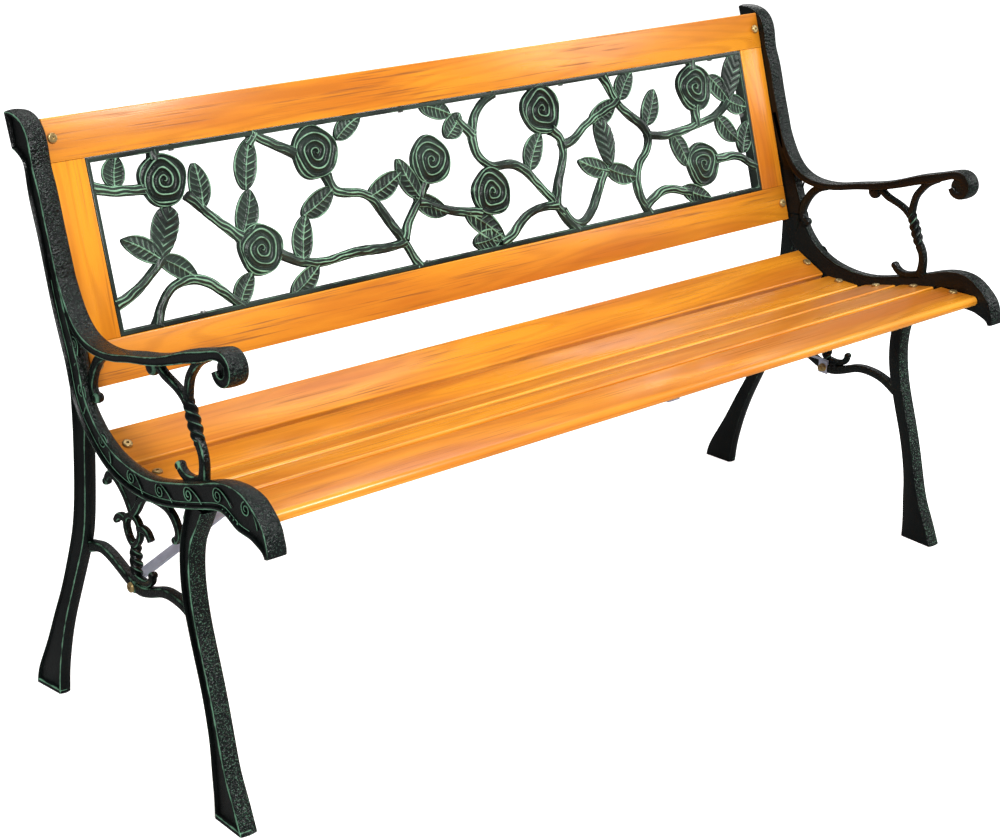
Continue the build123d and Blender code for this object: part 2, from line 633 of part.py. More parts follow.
def bench():
    nodes = {}
    frame = end_frame()
    nodes["left_end_frame"] = frame
    nodes["right_end_frame"] = mirrored(frame)

    slat_names = ["seat_slat_back", "seat_slat_second", "seat_slat_middle", "seat_slat_fourth",
                  "seat_slat_front"]
    for number, (name, slat) in enumerate(zip(slat_names, slat_places)):
        body = seat_slat(number, slat)
        body -= strip_screw_places()[number] * screw_hole()
        if slat is brace_slat:
            hole = brace_screw_place() * screw_hole()
            body = body - hole - mirrored(hole)
        nodes[name] = body

    nodes["seat_centre_strip"] = seat_strip()
    nodes["strip_screws"] = group(place * wood_screw() for place in strip_screw_places())

    nodes["back_bottom_rail"] = back_rail(-RAIL_WIDTH)
    nodes["back_top_rail"] = back_rail(PANEL_HEIGHT)
    nodes["back_left_stile"] = back_stile(-1)
    nodes["back_right_stile"] = back_stile(1)
    nodes["stile_dowels"] = group(place * Cylinder(DOWEL / 2, DOWEL_LENGTH)
                                  for place in dowel_places())
    nodes["rose_panel"] = rose_panel()
    nodes["panel_screws"] = group(place * wood_screw() for place in panel_screw_places())

    nodes["left_brace"] = brace()
    nodes["right_brace"] = mirrored(nodes["left_brace"])
    brace_screw = brace_screw_place() * wood_screw()
    nodes["brace_screws"] = group([brace_screw, mirrored(brace_screw)])

    for name, sign in (("left", -1), ("right", 1)):
        places = seat_bolt_places(sign)
        nodes[f"{name}_seat_bolts"] = group(place * bolt(seat_grip) for place in places)
        nodes[f"{name}_seat_washers"] = group(place * washer(seat_grip) for place in places)
        nodes[f"{name}_seat_nuts"] = group(place * nut(seat_grip) for place in places)
        places = back_bolt_places(sign)
        nodes[f"{name}_back_bolts"] = group(place * bolt(back_grip) for place in places)
        nodes[f"{name}_back_washers"] = group(place * washer(back_grip) for place in places)
        nodes[f"{name}_back_nuts"] = group(place * nut(back_grip) for place in places)

    fixing = [brace_bolt_place * bolt(brace_grip), brace_bolt_place * washer(brace_grip),
              brace_bolt_place * nut(brace_grip)]
    for name, shape in zip(("brace_bolts", "brace_washers", "brace_nuts"), fixing):
        nodes[name] = group([shape, mirrored(shape)])
    return nodes


os.makedirs("parts", exist_ok=True)
for name, shape in bench().items():
    export_step(shape, f"parts/{name}.step")
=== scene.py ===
from math import cos, pi, radians, sin

import bmesh
import bpy
import numpy as np
from mathutils import Matrix, Vector


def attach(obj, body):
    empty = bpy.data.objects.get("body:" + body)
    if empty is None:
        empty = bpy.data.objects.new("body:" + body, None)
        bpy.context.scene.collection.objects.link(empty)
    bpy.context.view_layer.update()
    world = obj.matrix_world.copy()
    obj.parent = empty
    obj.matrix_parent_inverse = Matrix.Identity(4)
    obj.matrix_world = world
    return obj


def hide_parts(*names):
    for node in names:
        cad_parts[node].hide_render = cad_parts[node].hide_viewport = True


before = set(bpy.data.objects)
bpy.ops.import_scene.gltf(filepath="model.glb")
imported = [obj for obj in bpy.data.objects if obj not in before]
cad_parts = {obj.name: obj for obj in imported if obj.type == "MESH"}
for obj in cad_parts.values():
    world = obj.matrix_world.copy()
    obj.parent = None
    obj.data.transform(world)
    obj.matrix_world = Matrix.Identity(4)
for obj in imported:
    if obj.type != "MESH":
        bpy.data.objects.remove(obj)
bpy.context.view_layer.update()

# Points and sizes are written in millimetres, in the CAD frame: x along the bench, y to the
# back, z up. A mesh is turned into metres when its piece is made.
MM = 0.001
DRAWN_FLOOR = -6.5       # where the floor comes in the heights as they are drawn
SIDES = (("left", -1.0), ("right", 1.0))


# ---------------------------------------------------------------- black iron of the end frames
# Sand-cast grey iron, sprayed with black enamel. The broad faces carry a hammered grain, and
# mint-green paint was dry brushed over every standing edge.

def add_node(tree, kind, inputs=None, **settings):
    """One shader node with its settings, its inputs filled with values or linked to sockets."""
    made = tree.nodes.new(kind)
    for name, value in settings.items():
        setattr(made, name, value)
    for key, value in (inputs or {}).items():
        if isinstance(value, bpy.types.NodeSocket):
            tree.links.new(value, made.inputs[key])
        else:
            made.inputs[key].default_value = value
    return made


def maths(tree, operation, first, second=0.0):
    """One operation on two values. An addition is held between 0 and 1."""
    made = add_node(tree, "ShaderNodeMath", {0: first, 1: second}, operation=operation)
    made.use_clamp = operation == "ADD"
    return made.outputs[0]


def fade(tree, value, low, high):
    """0 under low, 1 over high, and a soft step between them."""
    made = add_node(tree, "ShaderNodeMapRange", {"Value": value, "From Min": low, "From Max": high},
                    interpolation_type="SMOOTHSTEP")
    return made.outputs["Result"]


def span(tree, value, low, high):
    """Carries 0..1 to low..high."""
    made = add_node(tree, "ShaderNodeMapRange", {"Value": value, "To Min": low, "To Max": high})
    return made.outputs["Result"]


def blend_colours(tree, share, first, second):
    """The first colour where share is 0, the second where it is 1."""
    made = add_node(tree, "ShaderNodeMix", {0: share}, data_type="RGBA")
    for slot, colour in ((6, first), (7, second)):
        if isinstance(colour, bpy.types.NodeSocket):
            tree.links.new(colour, made.inputs[slot])
        else:
            made.inputs[slot].default_value = (*colour, 1.0)
    return made.outputs[2]


def noise(tree, place, scale, detail=3.0, stretch=(1.0, 1.0, 1.0)):
    """Cloudy noise over a place, squeezed along each axis by stretch."""
    moved = add_node(tree, "ShaderNodeMapping", {"Vector": place, "Scale": stretch})
    made = add_node(tree, "ShaderNodeTexNoise",
                    {"Vector": moved.outputs[0], "Scale": scale, "Detail": detail})
    return made.outputs["Fac"]


def mark(tree, name):
    """Reads a value that was laid on the mesh point by point."""
    return add_node(tree, "ShaderNodeAttribute", attribute_name=name).outputs["Fac"]


def object_place(tree):
    """Where a point lies on the bench, in metres."""
    return add_node(tree, "ShaderNodeTexCoord").outputs["Object"]


def new_material(name):
    """An empty material and its nodes."""
    material = bpy.data.materials.new(name)
    material.use_nodes = True
    material.node_tree.nodes.clear()
    return material, material.node_tree


def close_material(tree, colour, roughness, height, depth, strength=1.0, **constants):
    """Ends a material in its shader; depth is how high the bump stands, in metres."""
    bump = add_node(tree, "ShaderNodeBump",
                    {"Height": height, "Distance": depth, "Strength": strength})
    shader = add_node(tree, "ShaderNodeBsdfPrincipled",
                      {"Base Color": colour, "Roughness": roughness, "Normal": bump.outputs[0]})
    for name, value in constants.items():
        shader.inputs[name.replace("_", " ")].default_value = value
    out = add_node(tree, "ShaderNodeOutputMaterial")
    tree.links.new(shader.outputs[0], out.inputs["Surface"])
    return shader


def new_group(name, inputs, outputs):
    """A node group with its named inputs and outputs, and the two nodes that hold them."""
    group = bpy.data.node_groups.new(name, "ShaderNodeTree")
    for socket, kind in inputs:
        group.interface.new_socket(name=socket, in_out="INPUT", socket_type=kind)
    for socket, kind in outputs:
        group.interface.new_socket(name=socket, in_out="OUTPUT", socket_type=kind)
    return group, group.nodes.new("NodeGroupInput"), group.nodes.new("NodeGroupOutput")


def dry_brush_group():
    """Paint dragged over a casting: strong on marked edges, with specks on the hammered faces that
    are partly paint and partly a painted sparkle highlight.
    """
    group, given, result = new_group(
        "dry_brush",
        [("Edge", "NodeSocketFloat"), ("Hammer", "NodeSocketFloat"), ("Paint and sparkle specks", "NodeSocketFloat")],
        [("Paint", "NodeSocketFloat"), ("Height", "NodeSocketFloat"), ("Soot", "NodeSocketFloat")])
    place = object_place(group)
    dimples = noise(group, place, 310.0, 2.0)
    flecks = noise(group, place, 620.0, 2.0)
    grit = noise(group, place, 900.0, 2.0)
    drag = noise(group, place, 70.0, 4.0)
    edge = fade(group, maths(group, "ADD", given.outputs["Edge"], span(group, drag, -0.65, 0.35)),
                0.42, 0.95)
    rough_cast = maths(group, "POWER", given.outputs["Hammer"], 3.0)
    # Mint specks on the hammered faces: partly dry-brush paint, partly a painted sparkle highlight.
    paint_and_sparkle_specks = maths(group, "MULTIPLY", fade(group, flecks, 0.56, 0.68), rough_cast)
    paint_and_sparkle_specks = maths(group, "MULTIPLY", paint_and_sparkle_specks, given.outputs["Paint and sparkle specks"])
    paint = maths(group, "MAXIMUM", edge, paint_and_sparkle_specks)
    lumps = maths(group, "MULTIPLY", dimples, span(group, given.outputs["Hammer"], 0.12, 1.0))
    height = maths(group, "ADD", lumps, maths(group, "MULTIPLY", grit, 0.10))
    group.links.new(paint, result.inputs["Paint"])
    group.links.new(height, result.inputs["Height"])
    group.links.new(noise(group, place, 9.0, 3.0), result.inputs["Soot"])
    return group


DRY_BRUSH = dry_brush_group()


def cast_iron(name, dark, darker, paint, paint_and_sparkle_specks, gloss, depth):
    """Enamelled casting: a dark coat that varies from place to place, and brushed edges."""
    material, tree = new_material(name)
    brush = add_node(tree, "ShaderNodeGroup", {}, node_tree=DRY_BRUSH)
    tree.links.new(mark(tree, "edge"), brush.inputs["Edge"])
    tree.links.new(mark(tree, "hammer"), brush.inputs["Hammer"])
    brush.inputs["Paint and sparkle specks"].default_value = paint_and_sparkle_specks
    coat = blend_colours(tree, fade(tree, brush.outputs["Soot"], 0.35, 0.65), dark, darker)
    colour = blend_colours(tree, brush.outputs["Paint"], coat, paint)
    rough = maths(tree, "ADD", span(tree, brush.outputs["Soot"], gloss, gloss + 0.12),
                  maths(tree, "MULTIPLY", brush.outputs["Paint"], 0.22))
    close_material(tree, colour, rough, brush.outputs["Height"], depth, Specular_IOR_Level=0.26)
    return material


FRAME_IRON = cast_iron("black_enamelled_iron", dark=(0.0030, 0.0045, 0.0044),
                       darker=(0.0010, 0.0016, 0.0018), paint=(0.125, 0.29, 0.18),
                       paint_and_sparkle_specks=0.42, gloss=0.16, depth=0.0032)


# ---------------------------------------------------------------- back-and-seat bars
# The broad bar of each end frame: one flanged casting runs from the scrolled head down the
# upright and forward under the slats to the nose. Its outer side is sunk between two rims.

FRAME_OUTER = 635.0
FRAME_INNER = 609.5
RIM = 3.5
SINK = 4.0
CROWN = 1.3
CORNER = 2.0
RIM_SLOPE = 1.2          # how far a rim's inner wall slopes

# Head of the upright: points of its front edge with the points of its back edge across from them.
HEAD = [((258, 740.6), (242, 697)), ((247, 742.0), (241, 697)), ((234, 741.2), (239.5, 696.8)),
        ((218, 735), (236, 695.7)), ((206, 722), (231, 693.6)), ((200, 706), (225, 690.5)),
        ((196, 688), (219, 684))]
# Middle line and width of the bar: (y, z, width).
UPRIGHT = [(201, 665, 27), (186, 620, 28), (171, 575, 29), (158, 535, 30), (140, 490, 31),
           (129, 462, 32), (121, 434, 32)]
SEAT_RAIL = [(94, 397, 30), (59, 373.5, 31), (9, 362.5, 31), (-41, 365, 30), (-91, 378, 31),
             (-141, 394.5, 31), (-179, 405, 37), (-210, 400, 47), (-233, 392.2, 36.5),
             (-245.5, 384, 28), (-253.2, 375.2, 17.5), (-257.5, 368.2, 10), (-258.5, 363, 6)]


def smooth_line(points, count):
    """A natural cubic spline through the points, at even steps of its chord length."""
    points = np.asarray(points, float)
    steps = np.linalg.norm(np.diff(points, axis=0), axis=1)
    knots = np.concatenate([[0.0], np.cumsum(steps)])
    size = len(points)
    inner = np.arange(1, size - 1)
    system = np.eye(size)
    system[inner, inner - 1] = steps[:-1]
    system[inner, inner] = 2 * (steps[:-1] + steps[1:])
    system[inner, inner + 1] = steps[1:]
    slopes = np.diff(points, axis=0) / steps[:, None]
    turn = np.zeros_like(points)
    turn[1:-1] = 6 * (slopes[1:] - slopes[:-1])
    curl = np.linalg.solve(system, turn)
    where = np.linspace(0, knots[-1], count)
    i = np.clip(np.searchsorted(knots, where, side="right") - 1, 0, size - 2)
    step = steps[i][:, None]
    left = (knots[i + 1] - where)[:, None]
    right = (where - knots[i])[:, None]
    cubic = (curl[i] * left**3 + curl[i + 1] * right**3) / (6 * step)
    return (cubic + (points[i] / step - curl[i] * step / 6) * left
            + (points[i + 1] / step - curl[i + 1] * step / 6) * right)


def directions(line):
    """Unit vectors along a flat line, and those turned a quarter to its right."""
    run = np.gradient(line, axis=0)
    run /= np.linalg.norm(run, axis=1)[:, None]
    return run, np.stack([run[:, 1], -run[:, 0]], axis=1)


def station_edges(stations):
    """Right and left edge points of each station, half its width from the middle line."""
    stations = np.asarray(stations, float)
    _, face = directions(stations[:, :2])
    half = stations[:, 2:] / 2
    return np.hstack([stations[:, :2] + face * half, stations[:, :2] - face * half])


def bar_path(edges, step=1.6):
    """Middle, facing direction and half width along a bar given by its two edges."""
    edges = np.asarray(edges, float)
    reach = np.linalg.norm(np.diff(edges[:, :2], axis=0), axis=1).sum()
    line = smooth_line(edges, int(reach / step))
    front, back = line[:, :2], line[:, 2:]
    across = front - back
    width = np.linalg.norm(across, axis=1)
    return (front + back) / 2, across / width[:, None], width / 2


def carried(points, marks, closed=False):
    """Skins a grid: rows along the path, columns round the section. Open paths are capped."""
    rows, ring = points.shape[:2]
    at = np.arange(rows * ring).reshape(rows, ring)
    here, there = (at, np.roll(at, -1, axis=0)) if closed else (at[:-1], at[1:])
    quads = np.stack([here, np.roll(here, -1, axis=1), np.roll(there, -1, axis=1), there], axis=-1)
    faces = quads.reshape(-1, 4).tolist()
    if not closed:
        faces += [at[0][::-1].tolist(), at[-1].tolist()]
    laid = {name: np.broadcast_to(values, (rows, ring)).reshape(-1)
            for name, values in marks.items()}
    return points.reshape(-1, 3), faces, laid


def make_piece(name, shells, material, replaces, crease=38):
    """Joins closed shells into one mesh, faces outwards, and hands it to the frame."""
    points, faces, start = [], [], 0
    for shell_points, shell_faces, _ in shells:
        points.append(shell_points)
        faces += [[index + start for index in face] for face in shell_faces]
        start += len(shell_points)
    mesh = bpy.data.meshes.new(name)
    placed_points = (np.concatenate(points) - [0.0, 0.0, DRAWN_FLOOR]) * MM
    mesh.from_pydata(placed_points.tolist(), [], faces)
    for attribute in shells[0][2]:
        values = np.concatenate([marks[attribute] for _, _, marks in shells])
        layer = mesh.attributes.new(attribute, "FLOAT", "POINT")
        layer.data.foreach_set("value", values.astype(np.float32))
    work = bmesh.new()
    work.from_mesh(mesh)
    bmesh.ops.recalc_face_normals(work, faces=work.faces)
    work.to_mesh(mesh)
    work.free()
    mesh.shade_smooth()
    mesh.set_sharp_from_angle(angle=radians(crease))
    mesh.materials.append(material)
    piece = bpy.data.objects.new(name, mesh)
    bpy.context.scene.collection.objects.link(piece)
    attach(piece, "root")
    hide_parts(*replaces)
    return piece


def rimmed_section(half, face_side, far_side, sink, rim=RIM, crown=CROWN, hammer=1.0):
    """Section of a flanged bar, as x and offset from its middle line, with its marks.

    It goes up the flat inner side, over the crowned hammered face, and down the outer side,
    which is sunk between a rim at each edge. face_side and far_side are (inner x, outer x).
    """
    (in_f, out_f), (in_b, out_b) = face_side, far_side
    fit = np.clip(half / (2 * (rim + RIM_SLOPE)), 0, 1)
    rim, crown, corner, sink = rim * fit, crown * fit, CORNER * fit, sink * fit**2
    brow = half - crown
    floor_front = brow - rim - RIM_SLOPE
    floor_back = rim + RIM_SLOPE - half
    along = np.linspace(0, 1, 9)
    column = [(in_b, -half + corner, 0.1, 0), (in_f, brow - corner, 0.1, 0),
              (in_f + 0.3 * corner, brow - 0.3 * corner, 0.6, 0.6)]
    column += [(in_f + corner + (out_f - in_f - 2 * corner) * k, half - crown * (2 * k - 1)**2,
                0.0, hammer) for k in along]
    column += [(out_f - 0.3 * corner, brow - 0.3 * corner, 1.0, 0.6),
               (out_f, brow - corner, 0.62, 0), (out_f, brow - rim, 0.15, 0),
               (out_f - sink, floor_front, 0.0, 0)]
    column += [((out_f + (out_b - out_f) * k) - sink,
                floor_front * (1 - k) + floor_back * k, 0.0, 0) for k in (0.25, 0.5, 0.75)]
    column += [(out_b - sink, floor_back, 0.0, 0), (out_b, rim - half, 0.15, 0),
               (out_b, corner - half, 0.62, 0),
               (out_b - 0.3 * corner, 0.3 * corner - half, 1.0, 0.3),
               (out_b - corner, -half, 0.2, 0.3), (in_b + corner, -half, 0.2, 0.3),
               (in_b + 0.3 * corner, 0.3 * corner - half, 0.6, 0)]
    count = len(half)
    return [np.stack([np.broadcast_to(value, count) for value in values], axis=1)
            for values in zip(*column)]


def placed(path, section, side):
    """Puts a section round a side-view path: x across the bench, offset along the facing."""
    middle, face, _ = path
    x, offset, edge, hammer = section
    points = np.stack([side * x, middle[:, :1] + face[:, :1] * offset,
                       middle[:, 1:] + face[:, 1:] * offset], axis=-1)
    return carried(points, {"edge": edge, "hammer": hammer})


def end_rim(path, depth):
    """How deep the outer side is sunk: nothing within a rim's width of either end."""
    middle = path[0]
    steps = np.concatenate([[0.0], np.cumsum(np.linalg.norm(np.diff(middle, axis=0), axis=1))])
    from_end = np.minimum(steps, steps[-1] - steps)
    return depth * np.clip((from_end - RIM) / RIM_SLOPE, 0, 1)


BAR_EDGES = np.vstack([[(*front, *back) for front, back in HEAD],
                       station_edges(UPRIGHT + SEAT_RAIL)])
MAIN_BAR = bar_path(BAR_EDGES)
FULL_WIDTH = (FRAME_INNER, FRAME_OUTER)
# The broad face narrows along the seat and under the armrest: its inner edge, by how far back.
FACE_NARROWS = [(-222, 609.5), (-190, 615), (-100, 619), (94, 620), (122, 621), (135, 617),
                (146, 617), (158, 609.5)]


# Comma scrolls stand on the sunk side: where each one's eye is, as (y, z).
SCROLL_EYES = [(127, 492), (114, 437), (71, 388), (11, 364), (-49, 368), (-108, 384),
               (-166, 403), (-219, 406)]
SCROLL_RADIUS = 9.0
SCROLL_TAIL = [(25, -10), (20, -3), (12, 4), (5, 8)]


def ridge(line, x, side, width, height):
    """A half-round bead along a line of the side view, standing on the plane x."""
    run, face = directions(line)
    turn = np.linspace(0, pi, 7)
    offset = width / 2 * np.cos(turn)
    lift = x - 0.6 + (height + 0.6) * np.sin(turn)
    points = np.stack([side * np.broadcast_to(lift, (len(line), 7)),
                       line[:, :1] + face[:, :1] * offset, line[:, 1:] + face[:, 1:] * offset],
                      axis=-1)
    return carried(points, {"edge": np.sin(turn)**2 * 1.15, "hammer": 0.0})


def scroll_line(eye):
    """A tail that comes up over the eye, then winds in: the radius shrinks evenly with the turn."""
    turn = np.linspace(radians(90), radians(90 + 560), 60)
    radius = SCROLL_RADIUS * (1 - 0.78 * np.linspace(0, 1, 60))
    wound = np.stack([radius * np.cos(turn), radius * np.sin(turn)], axis=1)
    tail = smooth_line(SCROLL_TAIL + [tuple(wound[0])], 16)[:-1]
    flat = np.vstack([tail, wound])
    middle, face, _ = MAIN_BAR
    nearest = np.argmin(np.linalg.norm(middle - eye, axis=1))
    up = face[nearest]
    forward = np.array([-up[1], up[0]])
    return np.asarray(eye) + flat[:, :1] * forward + flat[:, 1:] * up


def inner_bead():
    """A thin bead that follows the lower rim from the upright to the nose."""
    middle, face, half = MAIN_BAR
    line = middle - face * (half - RIM - 4.2)[:, None]
    lowest = np.argmax(middle[:, 1] < 560)
    return line[lowest:-30:2]


NOTCHES = [(-176, 389), (-183, 388), (-190, 387), (-197, 385.5), (-204, 383.5)]

face_inner = np.interp(MAIN_BAR[0][:, 0], *np.transpose(FACE_NARROWS))

for name, side in SIDES:
    shells = [placed(MAIN_BAR, rimmed_section(MAIN_BAR[2], (face_inner, FRAME_OUTER), FULL_WIDTH,
                                              end_rim(MAIN_BAR, SINK), hammer=0.7), side)]
    web = FRAME_OUTER - SINK
    shells += [ridge(scroll_line(eye), web, side, 2.4, 1.9) for eye in SCROLL_EYES]
    shells.append(ridge(inner_bead(), web, side, 1.6, 1.0))
    shells += [ridge(smooth_line([(y, z), (y - 0.3, z + 1.3), (y - 0.6, z + 2.6)], 6), web, side,
                     1.6, 2.6) for y, z in NOTCHES]
    make_piece(f"{name}_back_and_seat_bar", shells, FRAME_IRON,
               [f"{name}_end_frame"])


# ---------------------------------------------------------------- legs
# Cast in one with the frame. The front leg has a hammered front face and a sunk outer side;
# the rear leg is broad behind and comes to a narrow nose in front. Both spread into flat feet.

REAR_LEG = [(123, 440, 30), (124, 410, 26), (127, 375, 20), (128.5, 350, 19), (132, 300, 19),
            (140, 250, 20.5), (158, 200, 19), (179, 150, 18), (197, 110, 21), (216, 61, 29),
            (230, 22, 42), (236, 0, 49), (239, -20, 48)]
FRONT_LEG = [(-121, 376, 32), (-112, 352, 26), (-103, 330, 22), (-98, 300, 21), (-98, 280, 21),
             (-102, 250, 21), (-110, 220, 20), (-120, 190, 20), (-132, 155, 20),
             (-142, 120, 21), (-150, 85, 24), (-157, 50, 32), (-164, 25, 41), (-170, 0, 51),
             (-175, -20, 58)]
FRONT_LEG_FACE = (610.5, 634.0)
REAR_LEG_NOSE = (613.5, 629.5)
FOOT_LEDGE = 5.0


def leg_path(stations):
    """A leg cut level at every height, so that its foot lies flat on the floor."""
    middle, face, half = bar_path(station_edges(stations))
    front = middle + face * half[:, None]
    back = middle - face * half[:, None]
    top = min(front[0, 1], back[0, 1])
    levels = np.concatenate([np.linspace(top, 12, 180), [9, FOOT_LEDGE + 2, FOOT_LEDGE, 2.5, 0]])
    levels[-5:] += DRAWN_FLOOR
    front_y = np.interp(levels, front[::-1, 1], front[::-1, 0])
    back_y = np.interp(levels, back[::-1, 1], back[::-1, 0])
    middle = np.stack([(front_y + back_y) / 2, levels], axis=1)
    forward = np.tile([-1.0, 0.0], (len(levels), 1))
    return middle, forward, (back_y - front_y) / 2


def leg_shell(stations, face_side, far_side, side, hammer):
    """A leg with the rimmed section, sunk above the foot and brushed along the foot's ledge."""
    path = leg_path(stations)
    sink = SINK * (path[0][:, 1] > FOOT_LEDGE + 1 + DRAWN_FLOOR)
    x, offset, edge, grain = rimmed_section(path[2], face_side, far_side, sink, rim=2.6,
                                            hammer=hammer)
    at_ledge = np.abs(path[0][:, 1:] - FOOT_LEDGE - DRAWN_FLOOR) < 1.0
    edge = np.maximum(edge, 0.95 * at_ledge * (x > FRAME_INNER + 10))
    return placed(path, (x, offset, edge, grain), side)


for name, side in SIDES:
    make_piece(f"{name}_front_leg",
               [leg_shell(FRONT_LEG, FRONT_LEG_FACE, FRONT_LEG_FACE, side, 1.0)],
               FRAME_IRON, [f"{name}_end_frame"])
    make_piece(f"{name}_rear_leg",
               [leg_shell(REAR_LEG, REAR_LEG_NOSE, FULL_WIDTH, side, 0.25)],
               FRAME_IRON, [f"{name}_end_frame"])


# ---------------------------------------------------------------- armrests
# A flat flanged bar cast in one with the upright. It dips, rises to the front and rolls under
# itself into a tight scroll that the hand rests on.

ARM = [(169.5, 590, 10), (156.5, 560, 11), (142.5, 534.5, 11), (122, 511, 11), (100, 500, 11),
       (69, 497, 10), (38, 500.8, 10), (8, 508.5, 10), (-32, 517.5, 11), (-73, 530, 12.5),
       (-113, 545, 14), (-148, 556.5, 13), (-166, 563, 12)]
ROLL_EYE = (-179.0, 549.0)
ROLL_RADIUS = 22.0
ROLL_TURN = 250
ROLL_STEP = 25
ROLL_THICKNESS = 13.0
ROLL_THINS = 2.0
ROLL_CLOSES = 4.0
HUB_RADIUS = 12.0
HUB_SUNK = 5.0


def roll_stations():
    """The bar wound round the eye: its middle line closes in and the bar thins as it turns."""
    stations = []
    for degrees in range(0, ROLL_TURN + 1, ROLL_STEP):
        share = degrees / ROLL_TURN
        width = ROLL_THICKNESS - ROLL_THINS * share
        radius = ROLL_RADIUS - width / 2 - ROLL_CLOSES * share
        turn = radians(degrees)
        stations.append((ROLL_EYE[0] - radius * sin(turn), ROLL_EYE[1] + radius * cos(turn), width))
    return stations


def turned(profile, y, z, side):
    """A profile of (x, radius) swept about a line along the bench through y and z."""
    x, radius = np.asarray(profile, float).T
    turn = np.linspace(0, 2 * pi, 32, endpoint=False)
    points = np.stack([np.broadcast_to(side * x[:, None], (len(x), 32)),
                       y + radius[:, None] * np.cos(turn), z + radius[:, None] * np.sin(turn)],
                      axis=-1)
    return carried(points, {"edge": 0.1, "hammer": 0.5})


ARM_PATH = bar_path(station_edges(ARM + roll_stations()))
HUB_FACE = FRAME_OUTER - HUB_SUNK
HUB = [(FRAME_INNER + 2, 1), (FRAME_INNER + 2, HUB_RADIUS), (HUB_FACE - 1, HUB_RADIUS),
       (HUB_FACE, HUB_RADIUS - 1), (HUB_FACE + 0.6, 1)]

for name, side in SIDES:
    section = rimmed_section(ARM_PATH[2], FULL_WIDTH, FULL_WIDTH, end_rim(ARM_PATH, 1.6), rim=1.8,
                             crown=0.9, hammer=0.7)
    shells = [placed(ARM_PATH, section, side), turned(HUB, *ROLL_EYE, side)]
    make_piece(f"{name}_armrest", shells, FRAME_IRON,
               [f"{name}_end_frame"])


# ---------------------------------------------------------------- scrollwork
# Slender bars, curls, rope-twist posts and a pear-shaped ring fill the arm and the space
# between the legs. They are cast with the frame, and are a third to a half as deep as it is.

TOP_WORK = (621.0, 10.5)         # middle x and depth of the scrollwork under the arm
LOW_WORK = (617.0, 14.0)         # the same for the bar between the legs
RING_WORK = (619.0, 9.0)         # and for the ring and curls above it

FRONT_STRUT = [(-137, 549, 8), (-119, 538, 8), (-109, 527, 8), (-102.5, 517, 8), (-99, 504, 8),
               (-97, 490, 9)]
SLOPING_STRUT = [(-40, 513, 8), (-46, 508, 8), (-68, 500, 7.5), (-87, 492, 7.5), (-97, 484, 8)]
POST_FOOT = [(-117, 446, 11), (-123, 436, 10), (-125.5, 425, 10), (-125, 412, 11),
             (-123, 400, 14)]
POST_HOOK = [(-120, 403, 9), (-106, 398.5, 8), (-92, 397, 9), (-82, 401, 9), (-77, 406, 9)]
ARM_BRACKET = [(64, 494, 9), (77, 489, 9), (90, 480, 10), (100, 466, 10), (106, 452, 10),
               (106, 440, 9), (99, 431, 9)]
CROSSBAR = [(132, 229, 12), (120, 233, 10.5), (109, 235.5, 10), (94, 234.5, 10), (79, 230.5, 10),
            (59, 223, 10), (40, 216.5, 11), (26, 214, 12), (9, 216, 11), (-11, 223, 10),
            (-26, 229, 10), (-41, 232, 10), (-56, 232, 10), (-71, 230, 10), (-86, 225, 10.5),
            (-104, 216, 12)]
LOWER_HOOK = [(32.5, 228, 8), (14, 227, 7.5), (2, 230, 7.5), (-5, 237, 7.5), (-6, 243, 7)]
REAR_FORK = [(33, 308, 8), (42, 322, 8), (54, 334, 8), (67, 342, 8), (79, 342, 8), (88, 331, 7)]
FRONT_FORK = [(33, 306, 8), (20, 320, 8), (10, 334, 8), (-4, 341, 8), (-29, 344, 9),
              (-51, 339, 8), (-64, 326, 8), (-66, 315, 8), (-60, 308, 7)]
SIDE_CURL = [(12, 6, 7), (22, 9, 7), (31, 7, 7), (38, -1, 6)]
PEAR_RING = (32.0, 287.0, 30.0, 36.0)     # middle of the ring, width and height of its bar line
RING_WALL = 7.5
TWIST_POST = ((-96.5, 491), (-117.5, 443))
LOWER_POST = ((32.5, 222), (32.5, 270))
TWIST_RADIUS = 8.5
LOWER_TWIST_RADIUS = 8.2
TWIST_PITCH = 33.0       # one strand's whole turn
CURL_ENDS = [(-27, 507, 21, TOP_WORK), (96, 432, 13, TOP_WORK), (-77, 406, 11, TOP_WORK),
             (-6.5, 243, 9.5, RING_WORK), (33, 214.5, 19, LOW_WORK), (88, 330, 10, RING_WORK),
             (-60, 308, 10, RING_WORK)]
GUSSETS = [([(32, 300), (52, 354), (11, 352)], RING_WORK),
           ([(-92, 366), (-122, 374), (-96, 318), (-88, 322), (-84, 346)], TOP_WORK)]


SQUARE_CORNERS = 0.62


def strut_section(half, middle_x, depth):
    """A rounded bar: a superellipse, squarer than an oval, with painted outer corners."""
    turn = np.linspace(0, 2 * pi, 20, endpoint=False)
    across = np.sign(np.cos(turn)) * np.abs(np.cos(turn))**SQUARE_CORNERS
    up = np.sign(np.sin(turn)) * np.abs(np.sin(turn))**SQUARE_CORNERS
    x = np.broadcast_to(middle_x + depth / 2 * across, (len(half), 20))
    edge = np.clip(1.7 * np.abs(np.sin(2 * turn)) - 0.75, 0, 1)
    edge = edge * np.where(np.cos(turn) > 0, 1, 0.4)
    edge = np.maximum(edge, np.clip(np.sin(turn) - 0.2, 0, 1) * 0.45)
    return x, half[:, None] * up, edge * 0.88, 0.5


FULLNESS = 1.25          # these bars are this much fuller than in their plain solids


def strut(stations, work, side):
    """A slender bar along its stations of (y, z, width)."""
    path = bar_path(station_edges([(y, z, width * FULLNESS) for y, z, width in stations]), 2.0)
    return placed(path, strut_section(path[2], *work), side)


